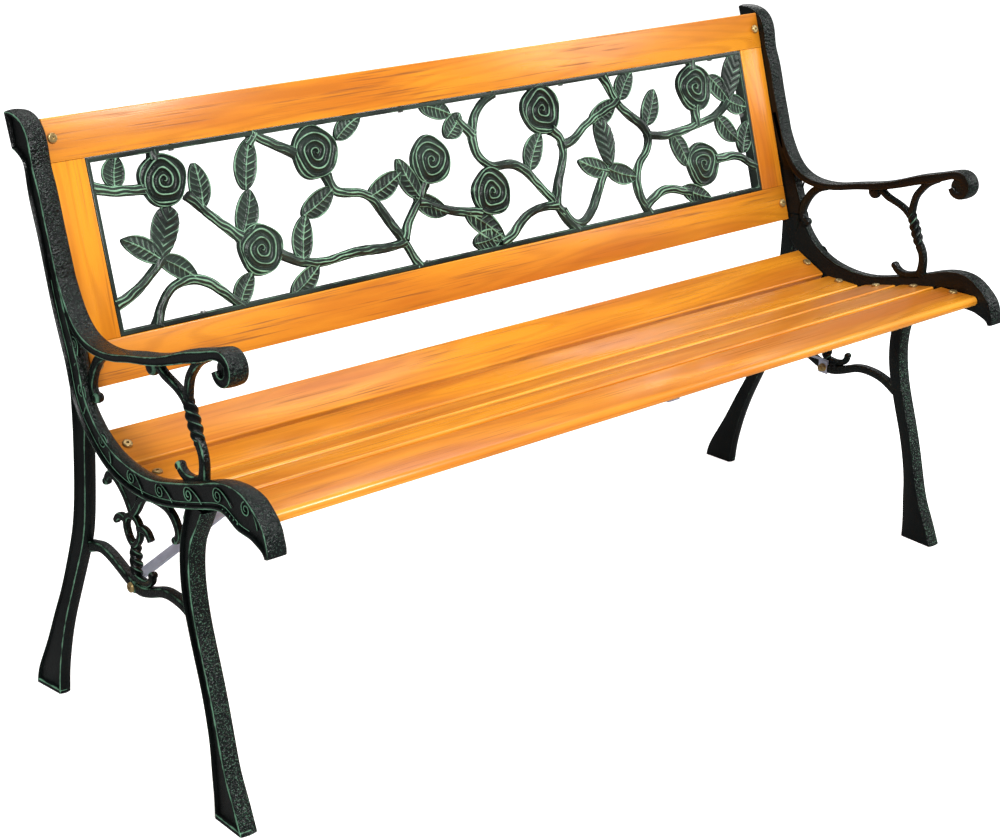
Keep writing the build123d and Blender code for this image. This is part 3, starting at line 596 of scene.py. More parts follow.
def ring_shell(ring, wall, work, side):
    """A bar carried round an egg: wider above its middle than below it."""
    y, z, width, height = ring
    turn = np.linspace(0, 2 * pi, 72, endpoint=False)
    line = np.stack([y + width / 2 * np.sin(turn) * (1 + 0.2 * np.cos(turn)),
                     z + height / 2 * np.cos(turn)], axis=1)
    run = np.roll(line, -1, axis=0) - np.roll(line, 1, axis=0)
    run /= np.linalg.norm(run, axis=1)[:, None]
    face = np.stack([run[:, 1], -run[:, 0]], axis=1)
    x, offset, edge, hammer = strut_section(np.full(len(line), wall / 2), *work)
    points = np.stack([side * x, line[:, :1] + face[:, :1] * offset,
                       line[:, 1:] + face[:, 1:] * offset], axis=-1)
    return carried(points, {"edge": edge, "hammer": hammer}, closed=True)


def twisted(post, radius, pitch, work, side, strands=3):
    """A rope of strands: the radius rises and falls round the post, turning as it climbs."""
    (y0, z0), (y1, z1) = post
    length = np.hypot(y1 - y0, z1 - z0)
    share = np.linspace(0, 1, 72)[:, None]
    turn = np.linspace(0, 2 * pi, 30, endpoint=False)[None, :]
    lobe = np.abs(np.cos(strands / 2 * (turn - 2 * pi * share * length / pitch)))
    swell = 0.70 + 0.30 * np.sin(pi * share)**0.6
    r = radius * swell * (0.66 + 0.34 * lobe)
    run = np.array([y1 - y0, z1 - z0]) / length
    across = r * np.sin(turn)
    y = y0 + (y1 - y0) * share + run[1] * across
    z = z0 + (z1 - z0) * share - run[0] * across
    x = side * (work[0] + r * np.cos(turn))
    return carried(np.stack([x, y, z], axis=-1), {"edge": lobe**7 * 0.72, "hammer": 0.3})


def knob(y, z, diameter, work, side):
    """A turned button that closes a curl: a superellipse swept about its own axis."""
    turn = np.linspace(0, pi, 13)
    out = np.sin(turn)**0.5 * diameter / 2
    out[[0, -1]] = 0.12 * diameter
    depth = np.cos(turn) * (work[1] / 2 + 1.0)
    round_turn = np.linspace(0, 2 * pi, 28, endpoint=False)
    points = np.stack([np.broadcast_to(side * (work[0] + depth)[:, None], (13, 28)),
                       y + out[:, None] * np.cos(round_turn),
                       z + out[:, None] * np.sin(round_turn)], axis=-1)
    edge = np.clip(1.3 * np.sin(2 * turn), 0, 1)[:, None] * 0.8
    return carried(points, {"edge": edge, "hammer": 0.3})


def plate(outline, work, side):
    """A flat web: its outline carried straight through, thinner than the bars beside it."""
    outline = np.asarray(outline, float)
    x = side * (work[0] + (work[1] / 2 - 1.5) * np.array([-1, 1]))[:, None]
    points = np.stack([np.broadcast_to(x, (2, len(outline))),
                       np.broadcast_to(outline[:, 0], (2, len(outline))),
                       np.broadcast_to(outline[:, 1], (2, len(outline)))], axis=-1)
    return carried(points, {"edge": 0.15, "hammer": 0.2})


def curl_stations(sign):
    """The curl behind the ring where sign is 1; in front of it, its mirror image."""
    return [(PEAR_RING[0] + sign * y, PEAR_RING[1] + z, width) for y, z, width in SIDE_CURL]


for name, side in SIDES:
    shells = [strut(bar, TOP_WORK, side) for bar in
              (FRONT_STRUT, SLOPING_STRUT, POST_FOOT, POST_HOOK, ARM_BRACKET)]
    shells += [strut(bar, RING_WORK, side) for bar in
               (LOWER_HOOK, REAR_FORK, FRONT_FORK, curl_stations(1), curl_stations(-1))]
    shells.append(strut(CROSSBAR, LOW_WORK, side))
    shells.append(ring_shell(PEAR_RING, RING_WALL, RING_WORK, side))
    shells.append(twisted(TWIST_POST, TWIST_RADIUS, TWIST_PITCH, TOP_WORK, side))
    shells.append(twisted(LOWER_POST, LOWER_TWIST_RADIUS, TWIST_PITCH, LOW_WORK, side))
    shells += [knob(y, z, diameter, work, side) for y, z, diameter, work in CURL_ENDS]
    shells += [plate(outline, work, side) for outline, work in GUSSETS]
    make_piece(f"{name}_scrollwork", shells, FRAME_IRON, [f"{name}_end_frame"])


# ---------------------------------------------------------------- lugs
# Flat ears cast on the inner side of each end frame, one under each slat and one behind each
# back rail. The bolts pass through the wood and through them.

WOOD_END = 608.5
SLAT_THICKNESS = 14.0
SLAT_ROUND = 3.0
SLAT_WIDTH = 59.2
LUG_WIDTH = 33.0
LUG_THICKNESS = 5.0
LUG_REACH = 26.0
LUG_ROUND = 1.5
BACK_THICKNESS = 18.0
RAIL_WIDTH = 52.0
PANEL_HEIGHT = 213.8
PANEL_FOOT = (139.1, 481.5)
LEAN = radians(17.8)
# Middle of each slat's top, and its tilt in degrees, front edge down when positive.
SLATS = [("back", 73, 375.8, 24.8), ("second", 8.2, 362.4, 0), ("middle", -61.5, 373.5, -14.7),
         ("fourth", -129, 390, -11.7), ("front", -199, 399.3, -1.4)]

lean_up = np.array([0.0, sin(LEAN), cos(LEAN)])
lean_out = np.array([0.0, -cos(LEAN), sin(LEAN)])
lean_foot = np.array([0.0, *PANEL_FOOT])
bench_along = np.array([1.0, 0.0, 0.0])


def rounded_ring(a0, a1, b0, b1, round0, round1, steps=6):
    """A rectangle with rounded corners: round0 at a0 and round1 at a1. Also marks the corners."""
    turn = np.linspace(0, pi / 2, steps)
    ring, corner = [], []
    for a, b, radius, start in ((a1, b1, round1, 0), (a0, b1, round0, 1), (a0, b0, round0, 2),
                                (a1, b0, round1, 3)):
        centre = np.array([a + (-radius if a == a1 else radius),
                           b + (-radius if b == b1 else radius)])
        angle = turn + start * pi / 2
        ring.append(centre + radius * np.stack([np.cos(angle), np.sin(angle)], axis=1))
        corner.append(np.sin(np.linspace(0, pi, steps)))
    return np.vstack(ring), np.concatenate(corner)


def carried_block(origin, along, across, out, reach, ring, ease=0.8):
    """A ring carried straight along a board, drawn in a little at both ends."""
    middle = (ring.max(axis=0) + ring.min(axis=0)) / 2
    half = (ring.max(axis=0) - ring.min(axis=0)) / 2
    small = middle + (ring - middle) * (1 - ease / half)
    start, end = reach
    rows = [(start, small), (start + ease, ring), (end - ease, ring), (end, small)]
    return np.stack([origin + along * at + flat[:, :1] * across + flat[:, 1:] * out
                     for at, flat in rows])


def slat_axes(y, z, tilt):
    """Middle of a slat's top, the way across it to the back, and the way out of its top."""
    angle = radians(tilt)
    return np.array([0.0, y, z]), np.array([0, cos(angle), sin(angle)]), \
        np.array([0, -sin(angle), cos(angle)])


def lug_shell(origin, across, out, drop, side):
    """A flat ear that comes out of the frame, its top a drop below the origin."""
    ring, corner = rounded_ring(-LUG_WIDTH / 2, LUG_WIDTH / 2, -drop - LUG_THICKNESS, -drop,
                                LUG_ROUND, LUG_ROUND)
    reach = sorted((side * (FRAME_INNER - LUG_REACH), side * (FRAME_INNER + 4)))
    points = carried_block(origin, bench_along, across, out, reach, ring, 1.0)
    return carried(points, {"edge": corner * 0.5, "hammer": 0.2})


for name, side in SIDES:
    shells = []
    for _, y, z, tilt in SLATS:
        shells.append(lug_shell(*slat_axes(y, z, tilt), SLAT_THICKNESS, side))
    for height in (-RAIL_WIDTH / 2, PANEL_HEIGHT + RAIL_WIDTH / 2 + 2):
        shells.append(lug_shell(lean_foot + lean_up * height, lean_up, lean_out,
                                BACK_THICKNESS, side))
    make_piece(f"{name}_lugs", shells, FRAME_IRON, [f"{name}_end_frame"])


# ---------------------------------------------------------------- seat slats
# Five planed hardwood slats with eased edges, the front one with a full-round nose, stained
# honey and varnished. Each mesh remembers where its board lay in the log, so grain runs
# along it, shows its face figure on top and its rings on the sawn ends.

RING_WAVE = 980.0        # radians per metre, so a ring is about 6.4 mm wide


def timber_group():
    """Wood in the log: growth rings round the pith, slow drifts of tone, and pore streaks."""
    group, given, result = new_group(
        "timber", [("Place", "NodeSocketVector")],
        [("Tone", "NodeSocketFloat"), ("Rings", "NodeSocketFloat"), ("Pores", "NodeSocketFloat"),
         ("Fibre", "NodeSocketFloat")])
    place = given.outputs["Place"]
    wander = noise(group, place, 1.0, 2.0, (1.6, 14.0, 14.0))
    split = add_node(group, "ShaderNodeSeparateXYZ", {0: place})
    across = maths(group, "MULTIPLY", split.outputs["Y"], split.outputs["Y"])
    through = maths(group, "MULTIPLY", split.outputs["Z"], split.outputs["Z"])
    total = add_node(group, "ShaderNodeMath", {0: across, 1: through}, operation="ADD").outputs[0]
    radius = maths(group, "SQRT", total)
    turns = add_node(group, "ShaderNodeMath", {0: radius, 1: span(group, wander, 0.0, 0.075)},
                     operation="ADD").outputs[0]
    wave = maths(group, "SINE", maths(group, "MULTIPLY", turns, RING_WAVE))
    group.links.new(span(group, wave, 0.5, 1.0), result.inputs["Rings"])
    tone = noise(group, place, 1.0, 3.0, (3.2, 26.0, 26.0))
    group.links.new(fade(group, tone, 0.3, 0.7), result.inputs["Tone"])
    pores = noise(group, place, 1.0, 4.0, (9.0, 430.0, 430.0))
    patch = noise(group, place, 1.0, 1.0, (5.0, 40.0, 40.0))
    streaks = maths(group, "MULTIPLY", fade(group, pores, 0.52, 0.74),
                    fade(group, patch, 0.4, 0.62))
    group.links.new(streaks, result.inputs["Pores"])
    group.links.new(noise(group, place, 1.0, 3.0, (60.0, 1700.0, 1700.0)), result.inputs["Fibre"])
    return group


TIMBER = timber_group()


def varnished_wood(name, light, deep, streak, gloss):
    """Stained wood under varnish: drifts of tone, rings, pores, corners lightened partly by wear
    and partly by a painted highlight, and dark ends.
    """
    material, tree = new_material(name)
    grain = add_node(tree, "ShaderNodeGroup", {}, node_tree=TIMBER)
    place = add_node(tree, "ShaderNodeAttribute", attribute_name="timber").outputs["Vector"]
    tree.links.new(place, grain.inputs["Place"])
    colour = blend_colours(tree, grain.outputs["Tone"], light, deep)
    darker = blend_colours(tree, 0.5, deep, streak)
    rings = maths(tree, "MULTIPLY", grain.outputs["Rings"], 0.42)
    colour = blend_colours(tree, rings, colour, darker)
    pores = maths(tree, "MULTIPLY", grain.outputs["Pores"], 0.75)
    colour = blend_colours(tree, pores, colour, streak)
    fibre = span(tree, grain.outputs["Fibre"], 0.0, 0.25)
    colour = blend_colours(tree, fibre, colour, darker)
    # The rounded arrises are lightened: partly wear, partly a painted highlight where the rounded
    # edges would catch the light.
    pale_wear_and_highlight = tuple(min(1.0, value * 1.35 + 0.04) for value in light)
    worn_and_highlit = maths(tree, "MULTIPLY", mark(tree, "arris"),
                 span(tree, grain.outputs["Tone"], 0.75, 0.25))
    colour = blend_colours(tree, maths(tree, "MULTIPLY", worn_and_highlit, 0.55), colour, pale_wear_and_highlight)
    colour = blend_colours(tree, maths(tree, "MULTIPLY", mark(tree, "sawn"), 0.55), colour, streak)
    rough = maths(tree, "ADD", span(tree, grain.outputs["Tone"], gloss, gloss + 0.08),
                  maths(tree, "MULTIPLY", grain.outputs["Pores"], 0.2))
    height = maths(tree, "ADD", span(tree, grain.outputs["Fibre"], 0.0, 0.35),
                   maths(tree, "MULTIPLY", grain.outputs["Pores"], -0.5))
    close_material(tree, colour, rough, height, 0.00025, 0.6, Coat_Weight=0.10,
                   Coat_Roughness=0.16, Specular_IOR_Level=0.28)
    return material


HONEY_WOOD = varnished_wood("honey_varnished_hardwood", light=(0.80, 0.315, 0.019),
                            deep=(0.53, 0.152, 0.007), streak=(0.14, 0.038, 0.005), gloss=0.26)


def board_piece(name, points, corner, origin, axes, log_place, material, node):
    """A board with its place in the log: how far along, across and through, in metres."""
    along, across, out = axes
    rows, ring = points.shape[:2]
    sawn = np.zeros((rows, ring))
    sawn[[0, -1]] = 1.0
    piece = make_piece(name, [carried(points, {"arris": corner, "sawn": sawn})], material,
                       [node], crease=50)
    local = (points.reshape(-1, 3) - origin) @ np.stack([along, across, out], axis=1) * MM
    layer = piece.data.attributes.new("timber", "FLOAT_VECTOR", "POINT")
    layer.data.foreach_set("vector", (local + log_place).astype(np.float32).reshape(-1))
    return piece


NOSE = SLAT_THICKNESS / 2

for number, (name, y, z, tilt) in enumerate(SLATS):
    origin, across, out = slat_axes(y, z, tilt)
    if name == "front":
        ring, corner = rounded_ring(-SLAT_WIDTH / 2 - NOSE, SLAT_WIDTH / 2, -SLAT_THICKNESS, 0,
                                    NOSE - 0.01, SLAT_ROUND)
    else:
        ring, corner = rounded_ring(-SLAT_WIDTH / 2, SLAT_WIDTH / 2, -SLAT_THICKNESS, 0,
                                    SLAT_ROUND, SLAT_ROUND)
    points = carried_block(origin, bench_along, across, out, (-WOOD_END, WOOD_END), ring)
    log_place = (1.7 * number, 0.012 * (number - 2), 0.05 + 0.013 * number)
    board_piece(f"seat_slat_{name}_board", points, corner, origin, (bench_along, across, out),
                log_place, HONEY_WOOD, f"seat_slat_{name}")


# ---------------------------------------------------------------- back rails and stiles
# A dowelled frame in the same wood leans back between the uprights: long rails above and
# below the rose panel, and a short stile at each end with the grain running up it.

STILE_WIDTH = 46.5
JOINT_GAP = 0.25
EASED = 1.6
BOARDS = [("bottom_rail", (-WOOD_END, WOOD_END), (-RAIL_WIDTH, 0.0)),
          ("top_rail", (-WOOD_END, WOOD_END), (PANEL_HEIGHT, PANEL_HEIGHT + RAIL_WIDTH)),
          ("left_stile", (-WOOD_END, STILE_WIDTH - WOOD_END),
           (JOINT_GAP, PANEL_HEIGHT - JOINT_GAP)),
          ("right_stile", (WOOD_END - STILE_WIDTH, WOOD_END),
           (JOINT_GAP, PANEL_HEIGHT - JOINT_GAP))]

for number, (name, (x0, x1), (w0, w1)) in enumerate(BOARDS):
    if "rail" in name:
        along, across, reach, sides = bench_along, lean_up, (x0, x1), (w0, w1)
    else:
        along, across, reach, sides = lean_up, -bench_along, (w0, w1), (-x1, -x0)
    ring, corner = rounded_ring(*sides, -BACK_THICKNESS, 0, EASED, EASED)
    points = carried_block(lean_foot, along, across, lean_out, reach, ring, 0.5)
    log_place = (9.0 + 1.9 * number, 0.01 * number - sum(sides) / 2 * MM, 0.045 + 0.017 * number)
    board_piece(f"back_{name}_board", points, corner, lean_foot, (along, across, lean_out),
                log_place, HONEY_WOOD, f"back_{name}")


# ---------------------------------------------------------------- rose panel
# One iron casting fills the back frame: a thin border, with bark-covered vines, veined leaves
# and wound roses across it. Dark green paint, with mint dragged over every ridge; on the roses the
# mint also fades down each petal into its hollow as painted shade.

PANEL_IRON = cast_iron("green_brushed_iron", dark=(0.022, 0.034, 0.027),
                       darker=(0.007, 0.011, 0.009), paint=(0.20, 0.37, 0.24),
                       # The specks on the panel's hammered faces are partly paint and partly a
                       # painted sparkle highlight.
                       paint_and_sparkle_specks=0.35, gloss=0.28, depth=0.0009)
PANEL_HALF = 561.5
PANEL_LOW = 0.5
PANEL_HIGH = 213.3
PANEL_BACK = -9.0        # the back of the roses and leaves
VINE_RADIUS = 6.3
LEAF_FULLNESS = 1.1      # leaves are this much broader than the widths listed
ROSE_TURNS = 3.6

ROSES = [(-463, 173, 66), (-345, 68, 66), (-238, 174, 70), (-57, 137, 66), (37, 80, 66),
         (150, 178, 70), (455, 171, 70), (447, 58, 66)]

VINES = [
    [(-566, 178), (-530, 170), (-490, 166)],
    [(-566, 37), (-535, 45), (-510, 60), (-484, 80)],
    [(-508, -2), (-497, 25), (-476, 45), (-453, 49), (-430, 43), (-405, 22), (-385, 2)],
    [(-433, 150), (-415, 130), (-395, 110), (-370, 88)],
    [(-322, 216), (-334, 196)],
    [(-326, 211), (-300, 195), (-268, 178)],
    [(-318, 58), (-295, 45), (-270, 37), (-200, 39), (-150, 36), (-122, 38)],
    [(-226, 143), (-216, 122), (-180, 113), (-163, 104), (-148, 82), (-124, 42), (-105, -2)],
    [(-122, 42), (-105, 68), (-85, 90), (-72, 108)],
    [(-88, 86), (-50, 71), (-20, 62), (12, 56)],
    [(70, 216), (45, 197), (28, 177), (22, 152), (30, 127), (50, 114), (80, 112), (105, 99),
     (128, 72), (150, 46), (168, 18), (182, -2)],
    [(-2, 186), (24, 160)],
    [(40, 8), (58, 14), (80, 30), (105, 42), (150, 44)],
    [(150, 46), (165, 82), (180, 116), (178, 134), (163, 148)],
    [(178, 124), (200, 128), (225, 143), (262, 158), (298, 172)],
    [(278, 216), (286, 192), (297, 170), (325, 142), (346, 118), (341, 96), (320, 76),
     (310, 54), (314, 26), (325, -2)],
    [(160, 34), (186, 12), (205, 18), (228, 44), (250, 74)],
    [(344, 116), (380, 110), (420, 112), (460, 118), (490, 124), (520, 140)],
    [(317, 12), (340, 25), (362, 32), (390, 28), (412, 20)],
    [(474, 61), (500, 61), (527, 58), (547, 46), (566, 38)],
    [(452, 145), (449, 114)],
    [(-470, 198), (-468, 216)],
    [(457, 198), (458, 216)],
]

LEAVES = [
    ((-530, 172), (-520, 216), 29), ((-486, 79), (-534, 112), 26),
    ((-489, 82), (-441, 47), 25), ((-416, 130), (-417, 187), 28), ((-351, 143), (-331, 206), 31),
    ((-367, 90), (-345, 143), 31), ((-392, 3), (-364, 42), 25), ((-311, 3), (-264, 33), 26),
    ((-287, 40), (-270, 99), 29), ((-274, 98), (-220, 126), 28), ((-202, 186), (-158, 214), 25),
    ((-167, 105), (-110, 129), 28), ((-85, 90), (-111, 147), 27), ((-93, 93), (-43, 64), 27),
    ((-58, 214), (-10, 192), 27), ((-24, 163), (6, 192), 29), ((-12, 60), (46, 12), 31),
    ((-8, 16), (42, 22), 28), ((110, 99), (141, 147), 30), ((239, 149), (292, 172), 28),
    ((257, 76), (204, 98), 26), ((254, 80), (310, 59), 28),
    ((300, 173), (332, 216), 29), ((344, 129), (371, 179), 30), ((394, 110), (416, 59), 28),
    ((492, 122), (529, 81), 29), ((486, 184), (522, 142), 29),
    ((516, 146), (565, 128), 28), ((534, 62), (562, 108), 29), ((398, 29), (452, 6), 26),
]
PALM_LEAVES = [((-487, 80), (-461, 140), 34), ((263, 82), (254, 150), 31),
               ((520, 145), (556, 216), 34)]


def on_panel(x, up, out):
    """From the face of the panel to the bench: along, up the lean, and out of the front."""
    return (lean_foot + x[..., None] * bench_along + up[..., None] * lean_up
            + out[..., None] * lean_out)


def crest(phase, sharpness):
    """A bell that comes round once for every whole step of phase."""
    return np.exp(-((phase % 1.0 - 0.5) / sharpness)**2)


def vine_shell(points, number):
    """A round bar with bark: its radius rises and falls round the bar, and the furrows wander."""
    points = np.asarray(points, float)
    reach = np.linalg.norm(np.diff(points, axis=0), axis=1).sum()
    line = smooth_line(points, max(int(reach / 1.8), 8))
    _, face = directions(line)
    s = np.linspace(0, reach, len(line))[:, None]
    turn = np.linspace(0, 2 * pi, 32, endpoint=False)[None, :]
    wander = 1.1 * np.sin(s / 9 + number) + 0.8 * np.sin(s / 4.3 + 2.1 * number + turn)
    furrow = 0.5 + 0.5 * np.cos(8 * turn + wander)
    flare = 1 + 0.28 * np.exp(-s / 7) + 0.28 * np.exp(-(reach - s) / 7)
    radius = (VINE_RADIUS + 0.5 * np.sin(s / 17 + number)) * flare * (0.88 + 0.16 * furrow)
    across = radius * np.cos(turn)
    out = -VINE_RADIUS + radius * 0.95 * np.sin(turn)
    grid = on_panel(line[:, :1] + face[:, :1] * across, line[:, 1:] + face[:, 1:] * across, out)
    brushed = furrow**1.3 * np.clip(0.75 + 0.5 * np.sin(turn), 0, 1)
    patchy = 0.55 + 0.45 * np.sin(s / 23 + 1.7 * number)
    return carried(grid, {"edge": brushed * (0.75 + 0.55 * patchy), "hammer": 0.35})


def rose_shell(x, up, diameter, number):
    """A disc of wound petals. Its height is a dome plus a crest wherever the distance from the
    middle, less the share of a turn, comes to a whole number; a three-part wobble parts the
    crest into petals, and one more crest makes the rim."""
    rho = np.concatenate([[0.05, 0.88, 1.0], np.linspace(1.0, 0.03, 52)])[:, None]
    turn = np.linspace(0, 2 * pi, 132, endpoint=False)[None, :]
    sway = 0.26 * np.sin(3 * turn + 1.3 * number) * rho
    wound = ROSE_TURNS * rho**0.85 - turn / (2 * pi) + sway
    petals = crest(wound, 0.20)
    rim = np.exp(-((rho - 0.95) / 0.045)**2)
    line = np.maximum(petals * np.clip((0.98 - rho) * 9, 0, 1), rim)
    hollow = wound % 1.0
    out = 1.6 * (1 - rho**2) - 4.6 + 3.8 * line + 1.2 * hollow * np.clip((1 - rho) * 6, 0, 1)
    out[:3] = np.array([PANEL_BACK, PANEL_BACK, PANEL_BACK + 1.5])[:, None]
    out[3] = -5.0
    reach = diameter / 2 * (1 + 0.035 * np.sin(3 * turn + number) + 0.02 * np.sin(5 * turn))
    grid = on_panel(x + rho * reach * np.cos(turn), up + rho * reach * np.sin(turn), out)
    # The mint ramps up each petal from its hollow. This is partly dry-brush paint and partly
    # painted shade that keeps the hollows dark.
    painted = np.maximum(line**1.5, 0.62 * hollow**2)
    painted[:3] = 0.0
    painted[3] = 0.6
    return carried(grid, {"edge": painted, "hammer": 0.4})


def leaf_shell(root, tip, width, number, palm=False):
    """A leaf as half widths along a rib, with height from its veins.

    The half width is the share along the leaf to one power times the share left to another.
    The veins are crests that climb towards the tip as they leave the rib. A palm leaf has
    overlapping ribs instead: steps that rise slowly and fall at once.
    """
    root, tip = np.asarray(root, float), np.asarray(tip, float)
    length = np.linalg.norm(tip - root)
    run = (tip - root) / length
    face = np.array([run[1], -run[0]])
    s = np.linspace(0.004, 0.996, 60)[:, None]
    half = s**0.62 * (1 - s)**(0.42 if palm else 0.72)
    half = half / half.max() * width / 2 * LEAF_FULLNESS + 0.3
    bow = 2.2 * np.sin(pi * s) * (1 if number % 2 else -1)
    u = np.linspace(-1, 1, 29)[None, :]
    veins = crest(s * (6.2 if palm else 7.5) - np.abs(u) * (1.5 if palm else 1.15), 0.13)
    rib = np.exp(-(u * half / 1.4)**2)
    rim = np.exp(-((np.abs(u) - 0.92) / 0.10)**2)
    if palm:
        step = (s * 6.2 - np.abs(u) * 1.5) % 1.0
        out = -4.0 + 2.6 * (1 - u**2) + 1.6 * (1 - step)
        painted = np.maximum(veins * 0.9, rim * 0.7)
    else:
        out = -4.6 + 1.2 * (1 - u**2) + 2.0 * np.maximum(rib, rim) + 0.9 * veins * (1 - u**4)
        painted = np.maximum(np.maximum(rib, rim), veins * 0.95 * (1 - u**6))
    top = on_panel_leaf(root, run, face, s * length, u * half + bow, out)
    below = np.array([0.85, 0.0, -0.85])[None, :]
    under = on_panel_leaf(root, run, face, s * length, below * half + bow,
                          np.full((len(s), 3), PANEL_BACK))
    grid = np.concatenate([top, under], axis=1)
    painted = np.maximum(painted, 0.5 * (1 - np.abs(u)) * (0.5 + 0.5 * np.sin(5 * s + number)))
    edge = np.concatenate([painted, np.zeros((len(s), 3))], axis=1)
    return carried(grid, {"edge": edge * 1.05, "hammer": 0.4})


def on_panel_leaf(root, run, face, along, across, out):
    """Carries leaf measures, along the rib and across it, to the bench."""
    along = np.broadcast_to(along, out.shape)
    across = np.broadcast_to(across, out.shape)
    return on_panel(root[0] + run[0] * along + face[0] * across,
                    root[1] + run[1] * along + face[1] * across, out)


def border_shell():
    """The border's section at each of the four corners, carried round as mitred bars."""
    section = [(0, -18), (0, -1.6), (0.5, -0.8), (1.4, -0.5), (4.4, -0.5), (5.4, -0.9), (6, -1.8),
               (6, -17.4), (5.4, -18)]
    inset, out = np.array(section).T
    half = PANEL_HALF - inset
    low, high = PANEL_LOW + inset, PANEL_HIGH - inset
    x = np.stack([-half, half, half, -half])
    up = np.stack([low, low, high, high])
    grid = on_panel(x, up, np.broadcast_to(out, x.shape))
    edge = np.array([0, 0.1, 0.3, 0.0, 0.0, 0.75, 0.6, 0, 0])
    return carried(grid, {"edge": edge, "hammer": 0.2}, closed=True)


def panel_piece(name, shells):
    """One part of the cast panel."""
    make_piece(name, shells, PANEL_IRON, ["rose_panel"], crease=60)


def clipped(points):
    """Keeps a vine or leaf inside the border, whose walls hide its ends."""
    points = np.asarray(points, float)
    return np.stack([np.clip(points[:, 0], 3 - PANEL_HALF, PANEL_HALF - 3),
                     np.clip(points[:, 1], PANEL_LOW + 3, PANEL_HIGH - 3)], axis=1)


panel_piece("rose_panel_border", [border_shell()])
panel_piece("rose_panel_vines", [vine_shell(clipped(points), number)
                                 for number, points in enumerate(VINES)])
panel_piece("rose_panel_roses", [rose_shell(*rose, number) for number, rose in enumerate(ROSES)])
leaf_shells = [leaf_shell(*clipped([root, tip]), width, number)
               for number, (root, tip, width) in enumerate(LEAVES)]
leaf_shells += [leaf_shell(*clipped([root, tip]), width, number, palm=True)
                for number, (root, tip, width) in enumerate(PALM_LEAVES)]
panel_piece("rose_panel_leaves", leaf_shells)


# ---------------------------------------------------------------- flat steel
# Bright zinc-plated strip: two braces bolted between the frames and the seat, and the centre
# strip screwed up into every slat. Rolling marks run along the metal.

def plated_metal(name, bright, dull, stretch, gloss, depth):
    """Plating that clouds from bright to dull, with drawn lines and small pits."""
    material, tree = new_material(name)
    place = object_place(tree)
    lines = noise(tree, place, 1.0, 2.0, stretch)
    clouds = noise(tree, place, 60.0, 4.0)
    pits = noise(tree, place, 700.0, 2.0)
    colour = blend_colours(tree, fade(tree, clouds, 0.35, 0.65), bright, dull)
    colour = blend_colours(tree, span(tree, lines, 0.0, 0.35), colour, dull)
    rough = span(tree, clouds, gloss, gloss + 0.2)
    height = maths(tree, "ADD", span(tree, lines, 0.0, 0.6), span(tree, pits, 0.0, 0.3))
    close_material(tree, colour, rough, height, depth, Metallic=0.75)
    return material


def finish_nodes(material, *names):
    """Gives CAD parts that keep their own shape their metal or wood."""
    for name in names:
        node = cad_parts[name]
        for slot in node.material_slots:
            slot.material = material
        if not node.material_slots:
            node.data.materials.append(material)


STRIP_STEEL = plated_metal("bright_zinc_strip", (0.72, 0.76, 0.90), (0.50, 0.54, 0.68),
                           (12.0, 900.0, 900.0), 0.26, 0.00012)
finish_nodes(STRIP_STEEL, "left_brace", "right_brace", "seat_centre_strip")


# ---------------------------------------------------------------- bolts, screws and dowels
# Yellow-passivated domed socket bolts with washers and nuts hold wood to iron. Small zinc
# screws hold the strips and the panel, and beech dowels pin the stiles.

YELLOW_ZINC = plated_metal("yellow_passivated_steel", (0.56, 0.42, 0.18), (0.30, 0.20, 0.08),
                           (300.0, 300.0, 300.0), 0.24, 0.00006)
SCREW_ZINC = plated_metal("screw_zinc", (0.60, 0.60, 0.58), (0.38, 0.38, 0.37),
                          (300.0, 300.0, 300.0), 0.28, 0.00006)
for name, _ in SIDES:
    for part in ("bolts", "washers", "nuts"):
        finish_nodes(YELLOW_ZINC, f"{name}_seat_{part}", f"{name}_back_{part}")
finish_nodes(YELLOW_ZINC, "brace_bolts", "brace_washers", "brace_nuts")
finish_nodes(SCREW_ZINC, "strip_screws", "panel_screws", "brace_screws")


def beech_dowel():
    """Pale close-grained beech, flecked along the dowel."""
    material, tree = new_material("pale_beech")
    place = object_place(tree)
    flecks = noise(tree, place, 1.0, 3.0, (900.0, 900.0, 90.0))
    colour = blend_colours(tree, fade(tree, flecks, 0.45, 0.7), (0.62, 0.42, 0.24),
                           (0.40, 0.24, 0.12))
    close_material(tree, colour, span(tree, flecks, 0.5, 0.7), flecks, 0.0001)
    return material


finish_nodes(beech_dowel(), "stile_dowels")


# ---------------------------------------------------------------- studio
# A pale seamless floor, even white surroundings, and soft lamps in front, above and behind.
# The floor and surroundings are dimmer in gloss than to the eye, so that black iron stays black.

def studio_floor():
    """White paper, lit a little more where it is seen."""
    mesh = bpy.data.meshes.new("studio_floor")
    reach = 14.0
    mesh.from_pydata([(-reach, -reach, 0), (reach, -reach, 0), (reach, reach, 0),
                      (-reach, reach, 0)], [], [(0, 1, 2, 3)])
    material, tree = new_material("studio_paper")
    cloud = noise(tree, object_place(tree), 2.0, 2.0)
    colour = blend_colours(tree, cloud, (0.93, 0.93, 0.93), (0.96, 0.96, 0.96))
    ray = add_node(tree, "ShaderNodeLightPath")
    colour = blend_colours(tree, ray.outputs["Is Glossy Ray"], colour, (0.14, 0.14, 0.14))
    shader = close_material(tree, colour, span(tree, cloud, 0.8, 0.9), cloud, 0.0001)
    shader.inputs["Emission Color"].default_value = (1.0, 1.0, 1.0, 1.0)
    tree.links.new(span(tree, ray.outputs["Is Camera Ray"], 0.0, 0.5),
                   shader.inputs["Emission Strength"])
    mesh.materials.append(material)
    floor = bpy.data.objects.new("studio_floor", mesh)
    bpy.context.scene.collection.objects.link(floor)


def soft_lamp(name, place, aim, size, power):
    """A round lamp, its size in metres and power in watts."""
    lamp = bpy.data.lights.new(name, "AREA")
    lamp.shape = "DISK"
    lamp.size = size
    lamp.energy = power
    holder = bpy.data.objects.new(name, lamp)
    holder.location = place
    holder.rotation_euler = (Vector(aim) - Vector(place)).to_track_quat("-Z", "Y").to_euler()
    bpy.context.scene.collection.objects.link(holder)


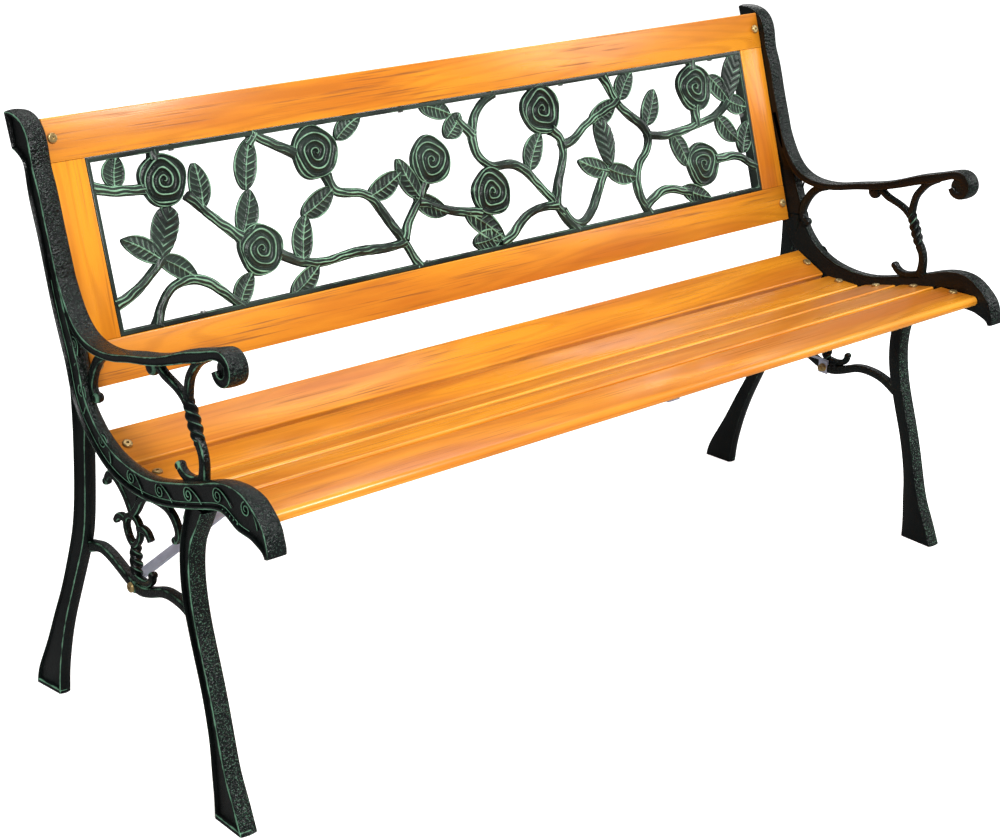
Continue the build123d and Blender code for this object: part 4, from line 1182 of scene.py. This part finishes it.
def surroundings(seen, cast, in_gloss):
    """White where it is seen, dimmer in the light it casts and in what the gloss reflects."""
    world = bpy.data.worlds.new("white_studio")
    world.use_nodes = True
    backdrop = world.node_tree.nodes["Background"]
    backdrop.inputs["Color"].default_value = (1.0, 1.0, 1.0, 1.0)
    ray = add_node(world.node_tree, "ShaderNodeLightPath")
    level = span(world.node_tree, ray.outputs["Is Glossy Ray"], cast, in_gloss)
    level = span(world.node_tree, ray.outputs["Is Camera Ray"], level, seen)
    world.node_tree.links.new(level, backdrop.inputs["Strength"])
    bpy.context.scene.world = world


def camera(place, azimuth, elevation, roll, lens, shift):
    """Looks along azimuth (0 looks to the back), tipped down by elevation, turned by roll."""
    az, el = radians(azimuth), radians(elevation)
    back = Vector((sin(az) * cos(el), -cos(az) * cos(el), sin(el)))
    right = (-back).cross(Vector((0, 0, 1))).normalized()
    up = back.cross(right)
    turned_right = right * cos(roll) + up * sin(roll)
    turned_up = up * cos(roll) - right * sin(roll)
    data = bpy.data.cameras.new("camera")
    data.sensor_width = 36.0
    data.lens = lens
    data.shift_x, data.shift_y = shift
    holder = bpy.data.objects.new("camera", data)
    holder.matrix_world = Matrix.Translation(place) @ Matrix((turned_right, turned_up, back)) \
        .transposed().to_4x4()
    bpy.context.scene.collection.objects.link(holder)
    bpy.context.scene.camera = holder


studio_floor()
surroundings(seen=1.0, cast=0.66, in_gloss=0.17)
soft_lamp("key_lamp", place=(-1.0, -3.0, 3.1), aim=(0.0, 0.0, 0.4), size=0.9, power=175.0)
soft_lamp("fill_lamp", place=(3.3, -1.2, 2.0), aim=(0.0, 0.0, 0.4), size=2.0, power=45.0)
soft_lamp("top_lamp", place=(0.3, 1.2, 3.2), aim=(0.0, 0.0, 0.3), size=2.4, power=60.0)
soft_lamp("rear_lamp", place=(3.0, 2.4, 1.7), aim=(0.5, 0.0, 0.4), size=1.2, power=9.0)
camera(place=(-1.716, -1.835, 1.2895), azimuth=-41.36, elevation=20.87, roll=radians(1.52),
       lens=72.70, shift=(0.0084, -0.0296))
bpy.context.scene.view_settings.view_transform = "Standard"
